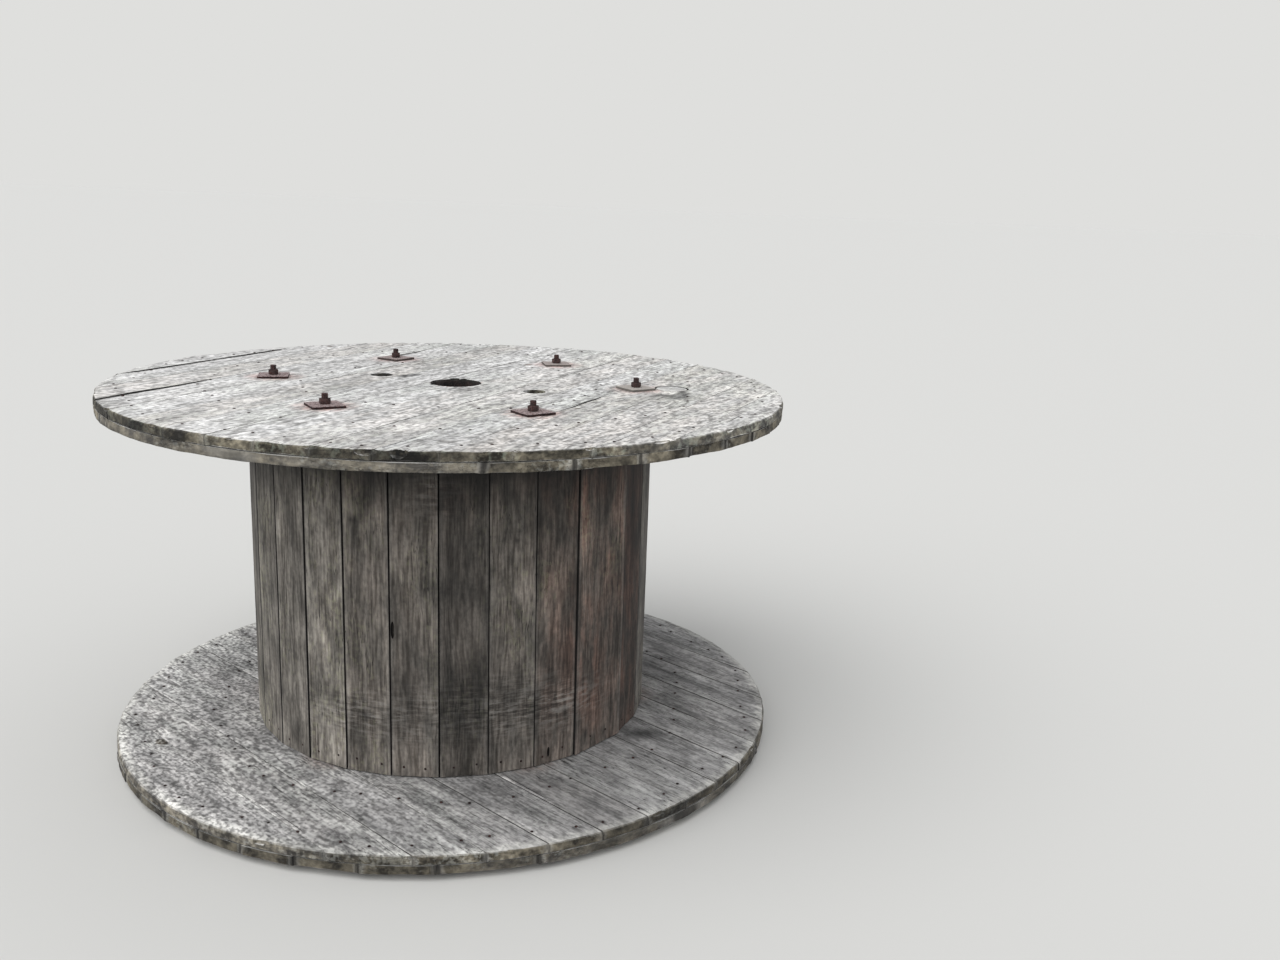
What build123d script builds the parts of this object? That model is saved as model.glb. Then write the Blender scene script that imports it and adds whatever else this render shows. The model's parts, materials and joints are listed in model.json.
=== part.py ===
from build123d import *
import os
from math import atan, ceil, cos, degrees, floor, radians, sin, tan

os.makedirs("parts", exist_ok=True)

# Wooden cable drum standing on its end, in millimetres, +Z up along the spindle axis.
# Two flanges of crossed boards are drawn onto a barrel of staves by six long tie bolts.
# The origin is on the floor at the middle of the drum, and the photographed side faces -Y.

# Sawn boards
board_thickness = 25
board_width = 122
board_gap = 1.8
narrowest_board = 60

# Flanges: an outer and an inner ply, nailed crosswise and cut to a circle
flange_diameter = 1800
flange_radius = flange_diameter / 2
flange_thickness = 2 * board_thickness
upper_flange_turn = 59.5
lower_flange_turn = 38
upper_outer_seam = 66
upper_inner_seam = 0
lower_inner_seam = 2
lower_outer_seam = 60

# Barrel: staves nailed round two core rings, with one wide stave to close the circle
traverse_length = 855
core_ring_radius = 515
core_ring_width = 90
core_ring_thickness = 50
stave_thickness = 25
stave_count = 28
stave_gap = 2.5
stave_seat_clearance = 0.3
closing_stave_width = 184
closing_stave_direction = -46.6

# Spindle bore and the two drive pin holes in line with it
bore_diameter = 132
drive_hole_diameter = 55
drive_hole_radius = 245
drive_hole_direction = -32.5

# Hole for the cable's inner end, just outside the barrel, closed with a wooden plug
cable_hole_diameter = 90
cable_hole_direction = -5
cable_hole_margin = 3
plug_clearance = 0.3

# Tie bolts: square head below, hexagon nut above, a square plate washer under each
bolt_diameter = 16
bolt_count = 6
bolt_direction = -8.2
bolt_inset = 20
bolt_hole_clearance = 1
bolt_hole_sides = 16
bolt_head_width = 24
bolt_head_height = 10
bolt_end = 12
bolt_end_chamfer = 2
nut_width = 24
nut_height = 13
nut_bore_clearance = 0.15
plate_width = 80
plate_thickness = 5
upper_plate_turns = [36, 44, 28, 13, 60, 7]
lower_plate_turns = [12, 50, 31, 70, 4, 58]

# Levels from the floor up
lower_plate_level = bolt_head_height
lower_flange_level = lower_plate_level + plate_thickness
barrel_level = lower_flange_level + flange_thickness
upper_flange_level = barrel_level + traverse_length
upper_plate_level = upper_flange_level + flange_thickness
nut_level = upper_plate_level + plate_thickness
bolt_top = nut_level + nut_height + bolt_end

# Places round the axis
bolt_circle_radius = core_ring_radius - bolt_inset
bolt_hole_radius = bolt_diameter / 2 + bolt_hole_clearance
bolt_turns = [bolt_direction + i * 360 / bolt_count for i in range(bolt_count)]
stave_inner_apothem = core_ring_radius + stave_seat_clearance
stave_outer_apothem = stave_inner_apothem + stave_thickness
closing_stave_half_angle = degrees(atan(closing_stave_width / 2 / stave_outer_apothem))
stave_half_angle = (180 - closing_stave_half_angle) / (stave_count - 1)
cable_hole_radius = (
    stave_outer_apothem / cos(radians(closing_stave_half_angle))
    + cable_hole_margin
    + cable_hole_diameter / 2
)


def at_polar(radius, direction, shape):
    return Rot(0, 0, direction) * Pos(radius, 0) * shape


# The bolt holes are hidden under the heads and nuts, so they are drawn with few sides
def bolt_hole():
    return RegularPolygon(bolt_hole_radius, bolt_hole_sides, major_radius=False)


# Holes that every ply has: the spindle bore, the drive pin holes and the tie bolt holes
def flange_outline():
    outline = Circle(flange_radius) - Circle(bore_diameter / 2)
    for side in (1, -1):
        outline -= at_polar(side * drive_hole_radius, drive_hole_direction, Circle(drive_hole_diameter / 2))
    for turn in bolt_turns:
        outline -= at_polar(bolt_circle_radius, turn, bolt_hole())
    return outline


# Seams that leave no strip at the rim too narrow to nail
def seam_places(first_seam):
    pitch = board_width + board_gap
    reach = flange_radius - narrowest_board
    lowest = ceil((-reach - first_seam) / pitch)
    highest = floor((reach - first_seam) / pitch)
    return [first_seam + i * pitch for i in range(lowest, highest + 1)]


# One ply: parallel boards with open seams, cut to the flange's outline
def flange_ply(outline, level, turn, first_seam):
    seams = seam_places(first_seam)
    lower_edges = [-flange_radius - board_gap] + seams
    upper_edges = seams + [flange_radius + board_gap]
    boards = []
    for low, high in zip(lower_edges, upper_edges):
        width = high - low - board_gap
        strip = Rot(0, 0, turn) * Pos(0, (low + high) / 2) * Rectangle(flange_diameter + board_width, width)
        boards += extrude(Pos(0, 0, level) * (outline & strip), board_thickness).solids()
    return boards


# A stave is a flat board with both sides bevelled towards the axis
def stave(half_angle, direction):
    def half_width(height):
        return height * tan(radians(half_angle)) - stave_gap / 2 / cos(radians(half_angle))

    section = Polygon(
        (stave_inner_apothem, -half_width(stave_inner_apothem)),
        (stave_outer_apothem, -half_width(stave_outer_apothem)),
        (stave_outer_apothem, half_width(stave_outer_apothem)),
        (stave_inner_apothem, half_width(stave_inner_apothem)),
        align=None,
    )
    return extrude(Pos(0, 0, barrel_level) * Rot(0, 0, direction) * section, traverse_length).solids()


# A core ring is sawn in segments that stop short on both sides of each tie bolt
def core_ring(level):
    ring = Circle(core_ring_radius) - Circle(core_ring_radius - core_ring_width)
    for turn in bolt_turns:
        bolt_gap = Rectangle(2 * core_ring_width, 2 * bolt_hole_radius)
        ring -= at_polar(core_ring_radius - core_ring_width / 2, turn, bolt_gap)
    return extrude(Pos(0, 0, level) * ring, core_ring_thickness).solids()


def tie_bolt(turn):
    head = extrude(Rectangle(bolt_head_width, bolt_head_width), bolt_head_height)
    shank = extrude(Circle(bolt_diameter / 2), bolt_top)
    shank = chamfer(shank.edges().sort_by(Axis.Z)[-1], bolt_end_chamfer)
    return at_polar(bolt_circle_radius, turn, head + shank).solids()


def plate_washer(level, turn, plate_turn):
    outline = Rot(0, 0, plate_turn) * Rectangle(plate_width, plate_width) - bolt_hole()
    return extrude(Pos(0, 0, level) * at_polar(bolt_circle_radius, turn, outline), plate_thickness).solids()


# A hexagon nut with its upper corners turned off at 30 degrees
def hex_nut(turn):
    corner_radius = nut_width / 2 / cos(radians(30))
    turned = Cone(
        nut_width / 2 + nut_height / tan(radians(30)),
        nut_width / 2,
        nut_height,
        align=(Align.CENTER, Align.CENTER, Align.MIN),
    )
    body = extrude(RegularPolygon(corner_radius, 6), nut_height) & turned
    body -= Cylinder(bolt_diameter / 2 + nut_bore_clearance, 3 * nut_height)
    return (Pos(0, 0, nut_level) * at_polar(bolt_circle_radius, turn, body)).solids()


# The plug is as thick as the flange, so it shows on both faces
def cable_hole_plug():
    plug = at_polar(cable_hole_radius, cable_hole_direction, Circle(cable_hole_diameter / 2 - plug_clearance))
    return extrude(Pos(0, 0, upper_flange_level) * plug, flange_thickness).solids()


def export_node(name, solids):
    export_step(Compound(children=list(solids)), f"parts/{name}.step")


lower_outline = flange_outline()
upper_outline = lower_outline - at_polar(cable_hole_radius, cable_hole_direction, Circle(cable_hole_diameter / 2))

export_node(
    "lower_flange_outer_boards",
    flange_ply(lower_outline, lower_flange_level, lower_flange_turn, lower_outer_seam),
)
export_node(
    "lower_flange_inner_boards",
    flange_ply(lower_outline, lower_flange_level + board_thickness, lower_flange_turn + 90, lower_inner_seam),
)
export_node(
    "upper_flange_inner_boards",
    flange_ply(upper_outline, upper_flange_level, upper_flange_turn + 90, upper_inner_seam),
)
export_node(
    "upper_flange_outer_boards",
    flange_ply(upper_outline, upper_flange_level + board_thickness, upper_flange_turn, upper_outer_seam),
)
export_node("cable_hole_plug", cable_hole_plug())

export_node("lower_core_ring", core_ring(barrel_level))
export_node("upper_core_ring", core_ring(upper_flange_level - core_ring_thickness))

# The staves are numbered from the wide closing one, anticlockwise seen from above
export_node("stave_01", stave(closing_stave_half_angle, closing_stave_direction))
for i in range(1, stave_count):
    direction = closing_stave_direction + closing_stave_half_angle + (2 * i - 1) * stave_half_angle
    export_node(f"stave_{i + 1:02d}", stave(stave_half_angle, direction))

nuts = []
for i, turn in enumerate(bolt_turns):
    export_node(f"tie_bolt_{i + 1}", tie_bolt(turn))
    export_node(f"lower_plate_washer_{i + 1}", plate_washer(lower_plate_level, turn, lower_plate_turns[i]))
    export_node(f"upper_plate_washer_{i + 1}", plate_washer(upper_plate_level, turn, upper_plate_turns[i]))
    nuts += hex_nut(turn)
export_node("tie_bolt_nuts", nuts)
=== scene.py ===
import json
import math
import random

import bmesh
import bpy
import numpy as np
from mathutils import Matrix, Vector


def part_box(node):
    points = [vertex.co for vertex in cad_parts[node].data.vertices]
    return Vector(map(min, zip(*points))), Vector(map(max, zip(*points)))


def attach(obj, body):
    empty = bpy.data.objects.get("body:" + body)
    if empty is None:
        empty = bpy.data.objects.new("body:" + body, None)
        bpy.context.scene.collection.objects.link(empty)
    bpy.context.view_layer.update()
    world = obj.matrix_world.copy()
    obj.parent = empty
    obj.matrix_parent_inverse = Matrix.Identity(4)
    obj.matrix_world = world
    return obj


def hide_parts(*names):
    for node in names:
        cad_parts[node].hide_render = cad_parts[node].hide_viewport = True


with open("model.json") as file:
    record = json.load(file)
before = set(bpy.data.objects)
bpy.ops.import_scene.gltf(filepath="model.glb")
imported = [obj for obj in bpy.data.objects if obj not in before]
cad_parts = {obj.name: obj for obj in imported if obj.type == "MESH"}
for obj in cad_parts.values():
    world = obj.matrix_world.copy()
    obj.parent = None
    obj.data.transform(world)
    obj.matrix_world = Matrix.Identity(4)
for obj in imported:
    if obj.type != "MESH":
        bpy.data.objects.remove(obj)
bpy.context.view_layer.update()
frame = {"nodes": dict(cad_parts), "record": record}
nodes = frame["nodes"]
dice = random.Random(41)
print("frame loaded")


# small helpers

def toLinear(hexColour):
    channels = [int(hexColour[i:i + 2], 16) / 255 for i in (1, 3, 5)]
    return [c / 12.92 if c <= 0.04045 else ((c + 0.055) / 1.055) ** 2.4 for c in channels] + [1.0]


def addNode(tree, kind, settings=None, links=None, output=0):
    node = tree.nodes.new(kind)
    for key, value in (settings or {}).items():
        if key == "ramp":  # pairs of place and colour: the first, the last, then those between
            stops = node.color_ramp.elements
            for i, (at, colour) in enumerate(value):
                stop = stops[i] if i < 2 else stops.new(at)
                stop.position = at
                stop.color = toLinear(colour)
        elif isinstance(key, str) and hasattr(node, key):
            setattr(node, key, value)
        else:
            node.inputs[key].default_value = value
    for key, source in (links or {}).items():
        tree.links.new(source, node.inputs[key])
    return node.outputs[output] if node.outputs else node


def pick(obj):  # makes one object the only selected and active one
    bpy.ops.object.select_all(action="DESELECT")
    obj.select_set(True)
    bpy.context.view_layer.objects.active = obj


def settle(obj):  # puts an object's place, turn and size into its mesh
    pick(obj)
    bpy.ops.object.transform_apply(location=True, rotation=True, scale=True)


def copyOf(obj, name):
    twin = obj.copy()
    twin.data = obj.data.copy()
    twin.name = name
    bpy.context.collection.objects.link(twin)
    return twin


def joined(parts, name):
    pick(parts[0])
    for part in parts:
        part.select_set(True)
    if len(parts) > 1:
        bpy.ops.object.join()
    whole = bpy.context.object
    whole.name = name
    whole.data.name = name
    return whole


def applied(obj, kind, **settings):  # adds one modifier and applies it
    modifier = obj.modifiers.new(kind, kind)
    for key, value in settings.items():
        setattr(modifier, key, value)
    pick(obj)
    bpy.ops.object.modifier_apply(modifier=modifier.name)


def cutWith(obj, cutter, operation):
    applied(obj, "BOOLEAN", object=cutter, operation=operation, solver="EXACT")
    bpy.data.objects.remove(cutter, do_unlink=True)


def markEdges(obj, test):  # in edit mode, selects the edges that pass the test
    bpy.ops.mesh.select_mode(type="EDGE")
    bpy.ops.mesh.select_all(action="DESELECT")
    mesh = bmesh.from_edit_mesh(obj.data)
    for edge in mesh.edges:
        edge.select_set(test(edge.verts[0].co, edge.verts[1].co))
    bmesh.update_edit_mesh(obj.data)


def markFaces(obj, test):  # in edit mode, selects the faces whose centre and normal pass the test
    bpy.ops.mesh.select_mode(type="FACE")
    bpy.ops.mesh.select_all(action="DESELECT")
    mesh = bmesh.from_edit_mesh(obj.data)
    for face in mesh.faces:
        face.select_set(test(face.calc_center_median(), face.normal))
    bmesh.update_edit_mesh(obj.data)


def readAll(rows, what):  # one vector for every vertex or face
    flat = np.empty(len(rows) * 3)
    rows.foreach_get(what, flat)
    return flat.reshape(-1, 3)


def points(obj):
    return readAll(obj.data.vertices, "co")


def alongAndAcross(x, y, turn):  # places measured along a direction and square to it
    return x * math.cos(turn) + y * math.sin(turn), -x * math.sin(turn) + y * math.cos(turn)


def middleOf(low, high):  # of a box, seen from above
    return (low[0] + high[0]) / 2, (low[1] + high[1]) / 2


def cornerOf(co, x, y):  # side and turn of a square piece, from the corner farthest from its middle
    offX, offY = co[:, 0] - x, co[:, 1] - y
    far = np.hypot(offX, offY)
    k = np.argmax(far)
    return float(far[k]) * math.sqrt(2), math.atan2(offY[k], offX[k]) - math.pi / 4


def addShape(kind, place=(0, 0, 0), **sizes):
    bpy.ops.object.select_all(action="DESELECT")
    getattr(bpy.ops.mesh, f"primitive_{kind}_add")(location=place, **sizes)
    return bpy.context.object


# sizes of the drum, read from the frame

outerLow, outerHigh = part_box("upper_flange_outer_boards")
flangeRadius = (outerHigh[0] - outerLow[0]) / 2
topLevel = outerHigh[2]
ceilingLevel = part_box("upper_flange_inner_boards")[0][2]
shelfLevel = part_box("lower_flange_inner_boards")[1][2]
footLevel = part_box("lower_flange_outer_boards")[0][2]
boltNumbers = range(1, 7)
staveNumbers = range(1, 29)
boltPlaces = [middleOf(*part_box(f"upper_plate_washer_{i}")) for i in boltNumbers]


# nails hold the two plies of a flange together in rings, and the wood draws the stain round each

nailRings = {  # lengths in metres; the waves make each nail stray by another amount
    "radii": (0.400, 0.655, 0.845), "counts": (26, 46, 60), "between": (0.53, 0.75),
    "strayOut": 0.016, "strayRound": 0.014, "waveOut": 7.3, "waveRound": 4.1,
    "stainFar": 0.027, "stainNear": 0.018, "stainRagged": 0.03,
}


def nailPlaces():
    spots = []
    for radius, count in zip(nailRings["radii"], nailRings["counts"]):
        for k in range(-count // 2 + 1, count // 2 + 1):
            far = radius + nailRings["strayOut"] * math.sin(k * nailRings["waveOut"])
            stray = nailRings["strayRound"] * math.sin(k * nailRings["waveRound"]) / radius
            angle = k * 2 * math.pi / count + stray
            spots.append((far * math.cos(angle), far * math.sin(angle)))
    return spots


# materials

grainPatterns = {  # length along the board and width across it in mm, then detail and roughness
    "fibre": (75, 6.5, 2, 0.5),  # silvered wood fibres, drawn coarser than the real ones so that they show
    "fleck": (30, 12, 3, 0.55),  # dark and pale flecks where fibres have lifted or broken off
    "streak": (320, 22, 3, 0.55),  # darker and paler bands of early and late wood
    "check": (230, 9, 2, 0.5),  # drying cracks, thin lines along the grain
    "patch": (420, 190, 3, 0.6),  # where rain and dirt have worked more or less
    "speck": (12, 10, 2, 0.5),  # lichen and grit, grain by grain
    "smudge": (130, 46, 4, 0.6),  # blotches of damp and dirt
    "scuff": (8, 50, 4, 0.6),  # rub marks that the cable's turns left across the staves
}

woodShared = {  # what all the woods have in common, lengths in mm
    "knotMm": (210, 150, 150), "knotRagged": 0.07, "ringMm": 5.5, "ringWander": 0.05, "ringSwing": 0.016,
    # one setting here is how dark the shade painted into holes, splits and gaps gets
    "endMm": (55, 55, 40), "endOnWall": 0.85, "gapShadeDark": 0.07, "ironBlack": "#34312f", "bumpStrength": 0.9,
    "rimRagged": 0.06, "mossGrip": 0.06, "seamRagged": 0.9, "lipShare": 0.25, "rubShare": 0.8,
    "grimeShare": 0.6, "brownLeast": 0.35,
}

noiseBands = {  # from which value of its noise a thing begins to show, and at which it is full
    "knot": (0.15, 0.11), "swing": (0.0, 0.5), "fleck": (0.46, 0.36), "brown": (0.4, 0.58),
    "rimWear": (0.898, 0.914), "rubbed": (0.5, 0.62), "moss": (0.30, 0.37), "rust": (0.28, 0.6),
    "cracked": (0.48, 0.56), "seamDirt": (0.95, 1.25), "lip": (0.55, 0.85), "dirt": (0.35, 0.6),
    "grit": (0.56, 0.79), "smudge": (0.34, 0.66), "grime": (0.5, 0.36), "rustDust": (0.4, 0.57),
}

woodLooks = {
    "bleachedSpruce": {  # outer face under open sky: sun and rain have silvered it nearly white
        "dark": "#b4b2b0", "middle": "#cfcdcb", "light": "#e0dfde", "crack": "#39342f", "knot": "#7c7067",
        "fleckDark": "#77726d", "worn": "#cfccc6", "rust": "#a3756b", "moss": "#8f978a", "brown": "#e6d6c6",
        "endDark": "#28241a", "endLight": "#8e8674", "wallDark": 0.72,
        "fibreShare": 0.55, "streakShare": 0.4, "ringShare": 0.05, "fleckShare": 0.4, "mossShare": 0.3,
        "patchLow": 0.86, "crackWidth": 0.008, "reliefMm": 1.1, "roughness": 0.88,
        "gritShare": 0.32, "lichenShare": 0.08, "smudgeShare": 0.22, "seamDirt": 0.5, "knotShare": 0.75,
        "speckScale": 0.8,
        "nails": 0.1, "rimWear": 0.2,
    },
    "greySpruce": {  # wood that is wetted and walked on: mid grey, with lichen and worn pale edges
        "dark": "#858483", "middle": "#a19f9e", "light": "#bbb9b8", "crack": "#24211f", "knot": "#4d453d",
        "fleckDark": "#4a4744", "worn": "#cbc9c4", "rust": "#7a6258", "moss": "#9a9c97", "brown": "#dccdbd",
        "endDark": "#332e26", "endLight": "#8c8473", "wallDark": 0.85,
        "fibreShare": 0.36, "streakShare": 0.56, "ringShare": 0.08, "fleckShare": 0.36, "mossShare": 0.35,
        "patchLow": 0.74, "crackWidth": 0.014, "reliefMm": 1.0, "roughness": 0.9,
        "gritShare": 0.12, "lichenShare": 0.36, "smudgeShare": 0.34, "seamDirt": 0.8, "knotShare": 0.7,
        "speckScale": 1.0,
        "nails": 0.45, "rimWear": 0.72,
    },
    "brownedSpruce": {  # staves sheltered by the flange: rain keeps off, so they stay grey-brown and dark
        "dark": "#4a453f", "middle": "#65605a", "light": "#7f7a73", "crack": "#171412", "knot": "#2b241f",
        "fleckDark": "#332e2a", "worn": "#8f8b86", "rust": "#5d4a42", "moss": "#6a6b54", "brown": "#fbcdc0",
        "endDark": "#3a342d", "endLight": "#5f574c", "wallDark": 1.0,
        "fibreShare": 0.54, "streakShare": 0.4, "ringShare": 0.06, "fleckShare": 0.3, "mossShare": 0.3,
        "patchLow": 0.68, "crackWidth": 0.012, "reliefMm": 0.6, "roughness": 0.85,
        "gritShare": 0.12, "lichenShare": 0.0, "smudgeShare": 0.5, "seamDirt": 0.45, "knotShare": 0.96,
        "speckScale": 1.0,
        "nails": 0.0, "rimWear": 0.0,
    },
    "innerSpruce": {  # core rings inside the barrel, never weathered
        "dark": "#6b5640", "middle": "#8b7357", "light": "#a98f6f", "crack": "#32271c", "knot": "#4a3726",
        "fleckDark": "#6b5640", "worn": "#a98f6f", "rust": "#6a4f3b", "moss": "#8b7357", "brown": "#f4ead8",
        "endDark": "#5f4b37", "endLight": "#8b7357", "wallDark": 1.0,
        "fibreShare": 0.4, "streakShare": 0.4, "ringShare": 0.2, "fleckShare": 0.1, "mossShare": 0.0,
        "patchLow": 0.85, "crackWidth": 0.008, "reliefMm": 0.5, "roughness": 0.8,
        "gritShare": 0.03, "lichenShare": 0.0, "smudgeShare": 0.1, "seamDirt": 0.5, "knotShare": 0.6,
        "speckScale": 1.0,
        "nails": 0.0, "rimWear": 0.0,
    },
}


def band(name, full=1.0, none=0.0):  # Map Range settings that turn one of the bands into a share
    low, high = noiseBands[name]
    return {"From Min": low, "From Max": high, "To Min": none, "To Max": full}


def ironStain(tree, place, radius, ragged, share):  # how near a point is to the closest nail of the rings
    radii, counts, between = nailRings["radii"], nailRings["counts"], nailRings["between"]
    side = addNode(tree, "ShaderNodeSeparateXYZ", {}, {0: place})
    angle = addNode(tree, "ShaderNodeMath", {"operation": "ARCTAN2"}, {0: side.node.outputs["Y"], 1: side})
    second = addNode(tree, "ShaderNodeMath", {"operation": "GREATER_THAN", 1: between[0]}, {0: radius})
    third = addNode(tree, "ShaderNodeMath", {"operation": "GREATER_THAN", 1: between[1]}, {0: radius})
    chosen = []
    for values in (radii, counts):
        two = addNode(
            tree, "ShaderNodeMath", {"operation": "MULTIPLY_ADD", 1: values[1] - values[0], 2: values[0]},
            {0: second},
        )
        chosen.append(
            addNode(
                tree, "ShaderNodeMath", {"operation": "MULTIPLY_ADD", 1: values[2] - values[1]},
                {0: third, 2: two},
            )
        )
    ringAt, count = chosen
    turn = addNode(tree, "ShaderNodeMath", {"operation": "MULTIPLY"}, {0: angle, 1: count})
    steps = addNode(tree, "ShaderNodeMath", {"operation": "DIVIDE", 1: 2 * math.pi}, {0: turn})
    index = addNode(tree, "ShaderNodeMath", {"operation": "ROUND"}, {0: steps})
    past = addNode(tree, "ShaderNodeMath", {"operation": "SUBTRACT"}, {0: steps, 1: index})
    pastTurn = addNode(tree, "ShaderNodeMath", {"operation": "DIVIDE"}, {0: past, 1: count})
    pastAngle = addNode(tree, "ShaderNodeMath", {"operation": "MULTIPLY", 1: 2 * math.pi}, {0: pastTurn})
    arc = addNode(tree, "ShaderNodeMath", {"operation": "MULTIPLY"}, {0: pastAngle, 1: ringAt})
    roundTurn = addNode(
        tree, "ShaderNodeMath", {"operation": "MULTIPLY", 1: nailRings["waveRound"]}, {0: index}
    )
    roundWave = addNode(tree, "ShaderNodeMath", {"operation": "SINE"}, {0: roundTurn})
    arcOff = addNode(
        tree, "ShaderNodeMath", {"operation": "MULTIPLY_ADD", 1: -nailRings["strayRound"]},
        {0: roundWave, 2: arc},
    )
    outTurn = addNode(tree, "ShaderNodeMath", {"operation": "MULTIPLY", 1: nailRings["waveOut"]}, {0: index})
    outWave = addNode(tree, "ShaderNodeMath", {"operation": "SINE"}, {0: outTurn})
    outAt = addNode(
        tree, "ShaderNodeMath", {"operation": "MULTIPLY_ADD", 1: nailRings["strayOut"]},
        {0: outWave, 2: ringAt},
    )
    outOff = addNode(tree, "ShaderNodeMath", {"operation": "SUBTRACT"}, {0: radius, 1: outAt})
    offset = addNode(tree, "ShaderNodeCombineXYZ", {}, {0: arcOff, 1: outOff})
    far = addNode(tree, "ShaderNodeVectorMath", {"operation": "LENGTH"}, {0: offset}, output="Value")
    edge = addNode(
        tree, "ShaderNodeMath", {"operation": "MULTIPLY_ADD", 1: nailRings["stainRagged"]},
        {0: ragged, 2: far},
    )
    return addNode(
        tree, "ShaderNodeMapRange",
        {"From Min": nailRings["stainFar"], "From Max": nailRings["stainNear"], "To Max": share},
        {"Value": edge},
    )


def weatheredWood(name):
    look = woodLooks[name]
    material = bpy.data.materials.new(name)
    material.use_nodes = True
    tree = material.node_tree
    tree.nodes.clear()
    place = addNode(tree, "ShaderNodeTexCoord", output="Object")
    grain = place
    if name != "innerSpruce":
        grain = addNode(tree, "ShaderNodeAttribute", {"attribute_name": "grain"}, output="Vector")
    boardMarks = addNode(tree, "ShaderNodeAttribute", {"attribute_name": "boardMarks"}, output="Vector")
    tone = addNode(tree, "ShaderNodeSeparateXYZ", {}, {0: boardMarks})  # x tone, with painted shade in places, y brown, z moss
    brownHere = tone.node.outputs["Y"]
    mossHere = tone.node.outputs["Z"]
    spotMarks = addNode(tree, "ShaderNodeAttribute", {"attribute_name": "spotMarks"}, output="Vector")
    rustHere = addNode(tree, "ShaderNodeSeparateXYZ", {}, {0: spotMarks})  # x rust, y near a seam, z wear
    seamHere = rustHere.node.outputs["Y"]
    wearHere = rustHere.node.outputs["Z"]
    cutAndShadeMarks = addNode(tree, "ShaderNodeAttribute", {"attribute_name": "cutAndShadeMarks"}, output="Vector")
    # x end grain, y rim wall, z inner wall, which is painted dark as shade in holes, splits and gaps
    endHere = addNode(tree, "ShaderNodeSeparateXYZ", {}, {0: cutAndShadeMarks})
    wallHere = endHere.node.outputs["Y"]
    gapShadeHere = endHere.node.outputs["Z"]

    pattern = {}
    for key, (lengthMm, widthMm, detail, roughness) in grainPatterns.items():
        stretched = addNode(
            tree, "ShaderNodeMapping", {"Scale": (1000 / lengthMm, 1000 / widthMm, 1000 / widthMm)},
            {"Vector": grain},
        )
        scale = look["speckScale"] if key in ("speck", "fleck") else 1.0
        pattern[key] = addNode(
            tree, "ShaderNodeTexNoise", {"Scale": scale, "Detail": detail, "Roughness": roughness},
            {"Vector": stretched},
        )

    # knots: an uneven scatter of points, seen where one lies close under the surface
    knotSpread = addNode(
        tree, "ShaderNodeMapping", {"Scale": [1000 / mm for mm in woodShared["knotMm"]]}, {"Vector": grain}
    )
    knotFar = addNode(tree, "ShaderNodeTexVoronoi", {"Scale": 1.0}, {"Vector": knotSpread}, output="Distance")
    knotKind = addNode(tree, "ShaderNodeSeparateColor", {}, {0: knotFar.node.outputs["Color"]})
    knotHere = addNode(
        tree, "ShaderNodeMath", {"operation": "GREATER_THAN", 1: look["knotShare"]}, {0: knotKind}
    )
    knotEdge = addNode(
        tree, "ShaderNodeMath", {"operation": "MULTIPLY_ADD", 1: woodShared["knotRagged"]},
        {0: pattern["speck"], 2: knotFar},
    )
    knotDisc = addNode(
        tree, "ShaderNodeMapRange", {"interpolation_type": "SMOOTHSTEP", **band("knot")}, {"Value": knotEdge}
    )
    knot = addNode(tree, "ShaderNodeMath", {"operation": "MULTIPLY"}, {0: knotDisc, 1: knotHere})

    # growth rings round a pith line beside the board, wandering along it and swinging round the knots
    crosswise = addNode(tree, "ShaderNodeVectorMath", {"operation": "MULTIPLY", 1: (0, 1, 1)}, {0: grain})
    pithFar = addNode(tree, "ShaderNodeVectorMath", {"operation": "LENGTH"}, {0: crosswise}, output="Value")
    wander = addNode(
        tree, "ShaderNodeMath", {"operation": "MULTIPLY_ADD", 1: woodShared["ringWander"]},
        {0: pattern["patch"], 2: pithFar},
    )
    swing = addNode(
        tree, "ShaderNodeMapRange", band("swing", none=woodShared["ringSwing"], full=0.0), {"Value": knotFar}
    )
    swung = addNode(tree, "ShaderNodeMath", {"operation": "MULTIPLY_ADD"}, {0: swing, 1: knotHere, 2: wander})
    turnsPerMetre = 1000 / woodShared["ringMm"] * 2 * math.pi
    ringTurns = addNode(tree, "ShaderNodeMath", {"operation": "MULTIPLY", 1: turnsPerMetre}, {0: swung})
    ringWave = addNode(tree, "ShaderNodeMath", {"operation": "SINE"}, {0: ringTurns})
    ring = addNode(tree, "ShaderNodeMapRange", {"From Min": 1.0, "From Max": -1.0}, {"Value": ringWave})

    # the value that sets how pale the wood is
    fibres = addNode(
        tree, "ShaderNodeMath", {"operation": "MULTIPLY", 1: look["fibreShare"]}, {0: pattern["fibre"]}
    )
    streaks = addNode(
        tree, "ShaderNodeMath", {"operation": "MULTIPLY_ADD", 1: look["streakShare"]},
        {0: pattern["streak"], 2: fibres},
    )
    shade = addNode(
        tree, "ShaderNodeMath", {"operation": "MULTIPLY_ADD", 1: look["ringShare"]}, {0: ring, 2: streaks}
    )
    wood = addNode(
        tree, "ShaderNodeValToRGB",
        {"ramp": ((0.37, look["dark"]), (0.61, look["light"]), (0.48, look["middle"]))}, {0: shade},
    )
    fleck = addNode(
        tree, "ShaderNodeMapRange", band("fleck", full=look["fleckShare"]), {"Value": pattern["fleck"]}
    )
    flecked = addNode(
        tree, "ShaderNodeMix", {"data_type": "RGBA", 7: toLinear(look["fleckDark"])},
        {0: fleck, 6: wood}, output=2,
    )
    brownPatch = addNode(
        tree, "ShaderNodeMapRange", band("brown", none=woodShared["brownLeast"]),
        {"Value": pattern["smudge"]},
    )
    brownShare = addNode(tree, "ShaderNodeMath", {"operation": "MULTIPLY"}, {0: brownHere, 1: brownPatch})
    browned = addNode(
        tree, "ShaderNodeMix", {"data_type": "RGBA", "blend_type": "MULTIPLY", 7: toLinear(look["brown"])},
        {0: brownShare, 6: flecked}, output=2,
    )

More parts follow.
